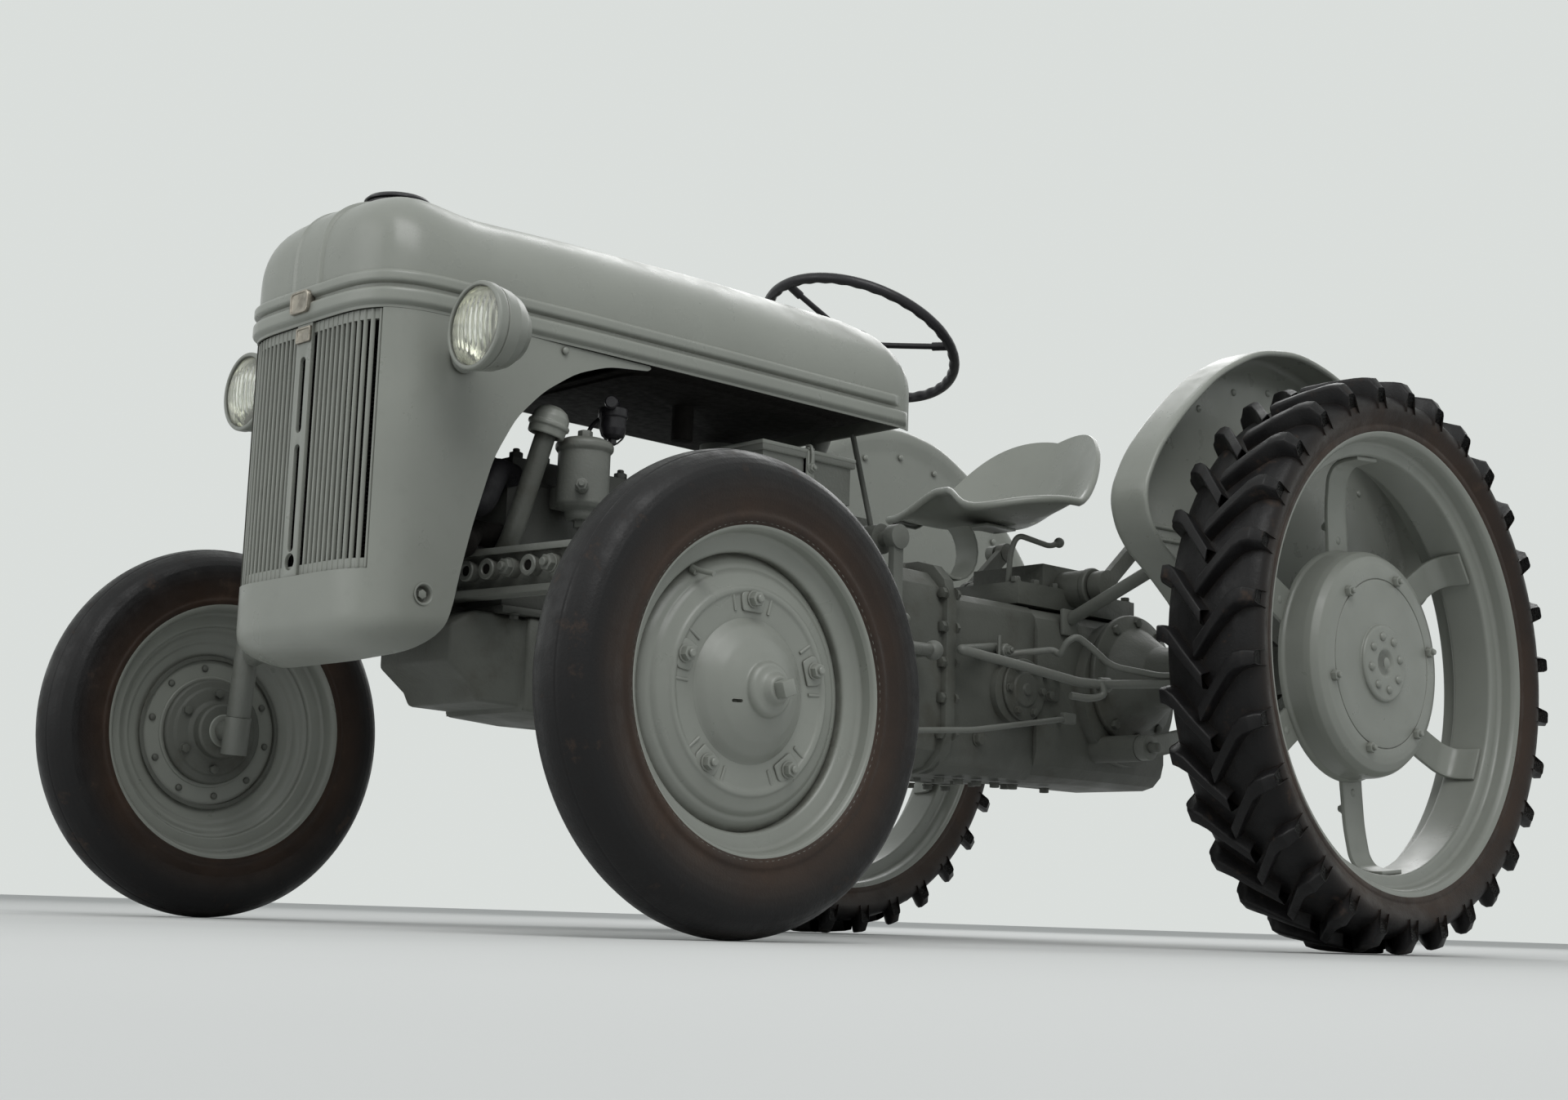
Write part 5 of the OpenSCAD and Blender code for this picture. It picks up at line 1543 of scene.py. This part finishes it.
class TRACTOR_OT_lid(bpy.types.Operator):
    """Finish the filler lid on its black seal"""

    bl_idname = "tractor.lid"
    bl_label = "Filler lid"

    def execute(self, context):
        softened("filler_lid", "filler_lid", "trim_black", 1.5)
        neck = turned("neck", [(40, -26), (50, -26), (50, -16), (56, -13), (58, -8), (58, -1), (40, -1),
                               (40, -26)], 56, 1.5)
        fixed(neck, "filler_neck", "trim_black", "black_paint", place=spot(NECK_X, 0, HOOD_TOP))
        return {"FINISHED"}


# Fenders and seat


FENDER_IN, FLANGE = 560.0, 86.0
PANEL_OUT = FENDER_IN + 5  # the flat of the panel stands this far out, less a step at its edge
FOOT_R = 70  # the panel starts this far from the axle
SEAT_LONG, SEAT_HALF, SEAT_ROLL = 228, 248, 7


class TRACTOR_OT_fenders(bpy.types.Operator):
    """Press the fenders: a flat panel that rolls into a flange over the tyre"""

    bl_idname = "tractor.fenders"
    bl_label = "Fenders"

    def execute(self, context):
        left = skin("fender", self.columns(), context.scene.tractor_sizes.sheet_wall)
        left = joined(left, self.dressing())
        right = mirrored(left)
        for piece, name in ((left, "left"), (right, "right")):
            fixed(piece, "fender_shell_" + name, "sheet_enamel", "hood_paint", "fender_" + name,
                  place=spot(REAR_X, 0, REAR_Z), smooth=40)
        return {"FINISHED"}

    def outline(self):
        """Points round the fender with the flange's width at each."""
        front = [(359, 113), (446, 171), (508, 209), (541, 246), (556, 292), (552, 327), (513, 402),
                 (431, 492), (303, 601), (155, 676), (0, 700)]
        edge = eased([p + (0,) for p in front + [(-x, z) for x, z in front[-2::-1]]], 60, 4)
        ends = (edge[0], edge[-1])
        points = [(p.x, p.y, FLANGE * smooth(0, 60, min((p - end).length for end in ends))) for p in edge]
        foot = [(-359, 113), (-300, 60), (-110, -90), (110, -90), (300, 60), (359, 113)]
        for a, b in zip(foot, foot[1:]):
            points += [(a[0] + (b[0] - a[0]) * k / 6, a[1] + (b[1] - a[1]) * k / 6, 0) for k in range(1, 7)]
        return points

    def columns(self):
        """From the axle's opening out over the pressed step and round the rolled flange."""
        columns = []
        for x, z, wide in self.outline():
            rim = Vector((x, 0, z))
            way = rim.normalized()
            wide = max(wide, 7)
            bend = min(13, wide * 0.5)
            column = []
            for k in range(31):
                t = k / 30
                step = 6 * smooth(0.945, 0.96, t)
                reach = FOOT_R + (rim.length - bend - FOOT_R) * t
                column.append(way * reach + Vector((0, PANEL_OUT - step, 0)))
            for k in range(1, 9):
                a = math.pi / 2 * k / 8
                column.append(way * (rim.length - bend + bend * math.sin(a))
                              + Vector((0, FENDER_IN + bend * (1 - math.cos(a)), 0)))
            for k in range(1, 6):
                column.append(way * rim.length + Vector((0, FENDER_IN + bend + (wide - bend) * k / 5, 0)))
            for k in range(1, 7):
                a = math.pi * k / 6
                column.append(way * (rim.length - 4 * (1 - math.cos(a)))
                              + Vector((0, FENDER_IN + wide + 4 * math.sin(a), 0)))
            columns.append(column)
        return columns

    def dressing(self):
        """Rivets along the step, the bolts of the stay and the ribs by the front corner."""
        parts = []
        spots = [(430, 215), (472, 300), (445, 372), (368, 452), (258, 540), (130, 600), (0, 622),
                 (-130, 600), (-258, 540), (-368, 452)]
        for out, way in ((PANEL_OUT, 1), (FENDER_IN - 3, -1)):
            parts.append(repeated(round_head(8, 5), [local((x, out, z), (0, way, 0)) for x, z in spots]))
        for z in (236, 262):
            parts.append(tube("rib", [(300, PANEL_OUT, z + 4), (420, PANEL_OUT, z)], 5.5, 0, 5))
        nuts = [local((218 + dx, FENDER_IN + 6, 268 + dz), (0, 1, 0)) for dx, dz in ((-20, -14), (20, 14))]
        parts.append(repeated(hex_bolt(19, 11, True, 6), nuts))
        return joined(*parts)


class TRACTOR_OT_seat(bpy.types.Operator):
    """Press the pan seat with its raised front, rolled edge and drain holes"""

    bl_idname = "tractor.seat"
    bl_label = "Seat"

    def execute(self, context):
        columns = []
        for k in range(97):
            a = math.tau * k / 96
            column = [self.pan(i / 24, a) for i in range(25)]
            edge = column[-1]
            out = Vector((edge.x - column[-2].x, edge.y - column[-2].y, 0)).normalized()
            for down in range(1, 8):
                b = math.pi * down / 7
                column.append(edge + out * (SEAT_ROLL * math.sin(b))
                              - Vector((0, 0, SEAT_ROLL * (1 - math.cos(b)))))
            columns.append(column)
        seat = skin("seat", columns, 2.6)
        for x, y in ((-95, 0), (-130, 60), (-130, -60), (-40, 85), (-40, -85)):
            cut(seat, drum("hole", 11, 200, local((x, y, -60)), 0, 24))
        fixed(seat, "seat_pan", "sheet_enamel", "hood_paint", "seat", place=spot(-1510, 0, 940), smooth=40)
        return {"FINISHED"}

    def pan(self, r, a):
        """A point of the pan, a share r of the way from its middle to its edge."""
        x, y = math.cos(a), math.sin(a)
        back, front = max(0, -x), max(0, x)
        middle_share = math.exp(-(SEAT_HALF * r * y / 74) ** 2) * front ** 2
        hump = 84 * r ** 3 * middle_share
        rise = (max(0.0, r - 0.3) / 0.7) ** 1.9
        edge = 92 * smooth(0, 1, back) + 164 * back ** 1.25 + 58 * abs(y) - 24
        return Vector((SEAT_LONG * r * x * (1 - 0.04 * y * y) - 52 * r ** 2 * middle_share,
                       SEAT_HALF * r * y * (1 + 0.06 * x), 4 + hump + rise * edge))


# Stage


class TRACTOR_OT_stage(bpy.types.Operator):
    """Lay the floor, set soft lamps and stand the camera at the photograph's place"""

    bl_idname = "tractor.stage"
    bl_label = "Stage"

    def execute(self, context):
        self.floor(tuple(context.scene.tractor_colours.floor_grey))
        world = bpy.data.worlds.new("studio")
        context.scene.world = world
        world.use_nodes = True
        ground = world.node_tree.nodes["Background"]
        ground.inputs["Color"].default_value = (0.80, 0.83, 0.84, 1)
        ground.inputs["Strength"].default_value = 0.55
        self.sky(world.node_tree)
        for name, place, target, size, power in (
                ("key", (2.5, 3.6, 5.2), (0, 0, 0.6), 4.0, 160),
                ("fill", (5.5, -1.5, 3.0), (0.4, 0, 0.7), 4.0, 55),
                ("back", (-4.5, -2.5, 4.5), (-0.3, 0, 0.8), 4.5, 125)):
            clear()
            bpy.ops.object.light_add(type="AREA", location=place)
            lamp = fresh(name)
            lamp.data.size = size
            lamp.data.energy = power
            lamp.rotation_euler = (Vector(target) - Vector(place)).to_track_quat("-Z", "Y").to_euler()
        self.camera(context)
        context.scene.view_settings.view_transform = "Standard"
        return {"FINISHED"}

    def sky(self, tree):
        """A pale backdrop that the camera and reflections see, with the light left as it is."""
        def add(kind, *sources, **settings):
            made = tree.nodes.new("ShaderNode" + kind)
            for key, value in settings.items():
                setattr(made, key, value)
            for socket, source in zip(made.inputs, sources):
                tree.links.new(source, socket)
            return made
        rays = add("LightPath").outputs
        seen = add("Math", rays["Is Camera Ray"], rays["Is Glossy Ray"], operation="MAXIMUM")
        both = add("Math", seen.outputs[0], rays["Is Transmission Ray"], operation="MAXIMUM")
        pale = add("Background")
        pale.inputs["Color"].default_value = (0.74, 0.77, 0.75, 1)
        pale.inputs["Strength"].default_value = 0.95
        blend = add("MixShader", both.outputs[0], tree.nodes["Background"].outputs[0], pale.outputs[0])
        tree.links.new(blend.outputs[0], tree.nodes["World Output"].inputs[0])

    def floor(self, colour):
        clear()
        bpy.ops.mesh.primitive_plane_add(size=60)
        floor = fresh("floor")
        coat = Coat("floor_finish")
        at = coat.place()
        coat.link(coat.blend(coat.noise(at, 0.7, 3), shade(colour, 0.97), shade(colour, 1.03)),
                  "Base Color")
        coat.shader.inputs["Roughness"].default_value = 0.85
        floor.data.materials.append(coat.material)

    def camera(self, context):
        """The photograph's camera: its place, where it looks and its lens."""
        place = Vector((3.3572, 3.302, 0.039))
        yaw, pitch, roll = -2.3278, 0.1651, 0.0317
        ahead = Vector((math.cos(yaw) * math.cos(pitch), math.sin(yaw) * math.cos(pitch), math.sin(pitch)))
        right = Vector((math.sin(yaw), -math.cos(yaw), 0))
        up = right.cross(ahead)
        tilted = math.cos(roll) * right + math.sin(roll) * up
        upright = -math.sin(roll) * right + math.cos(roll) * up
        clear()
        bpy.ops.object.camera_add(location=place)
        camera = fresh("camera")
        axes = Matrix((tilted, upright, -ahead)).transposed().to_4x4()
        camera.matrix_world = Matrix.Translation(place) @ axes
        camera.data.sensor_width = 36
        camera.data.lens = 50.49
        camera.data.clip_start = 0.02
        camera.data.clip_end = 200
        context.scene.camera = camera


OPERATORS = (
    TRACTOR_OT_finishes, TRACTOR_OT_stage, TRACTOR_OT_hood, TRACTOR_OT_nose, TRACTOR_OT_grille,
    TRACTOR_OT_lamps, TRACTOR_OT_front_wheels, TRACTOR_OT_front_tyres, TRACTOR_OT_rear_wheels,
    TRACTOR_OT_rear_tyres, TRACTOR_OT_castings, TRACTOR_OT_engine_bay, TRACTOR_OT_drive_line,
    TRACTOR_OT_steering_wheel, TRACTOR_OT_lid, TRACTOR_OT_fenders, TRACTOR_OT_seat,
)


class TRACTOR_PT_panel(bpy.types.Panel):
    """Lists the tractor's pieces in the sidebar"""

    bl_idname = "TRACTOR_PT_panel"
    bl_label = "Vintage Tractor"
    bl_space_type = "VIEW_3D"
    bl_region_type = "UI"
    bl_category = "Tractor"

    def draw(self, context):
        for group in (context.scene.tractor_sizes, context.scene.tractor_colours):
            for key in group.__annotations__:
                self.layout.prop(group, key)
        for operator in OPERATORS:
            self.layout.operator(operator.bl_idname)


CLASSES = (TractorSizes, TractorColours) + OPERATORS + (TRACTOR_PT_panel,)


def register():
    for each in CLASSES:
        bpy.utils.register_class(each)
    bpy.types.Scene.tractor_sizes = PointerProperty(type=TractorSizes)
    bpy.types.Scene.tractor_colours = PointerProperty(type=TractorColours)


def unregister():
    del bpy.types.Scene.tractor_colours
    del bpy.types.Scene.tractor_sizes
    for each in reversed(CLASSES):
        bpy.utils.unregister_class(each)


def main():
    register()
    for operator in OPERATORS:
        group, call = operator.bl_idname.split(".")
        getattr(getattr(bpy.ops, group), call)()


if __name__ == "__main__":
    main()
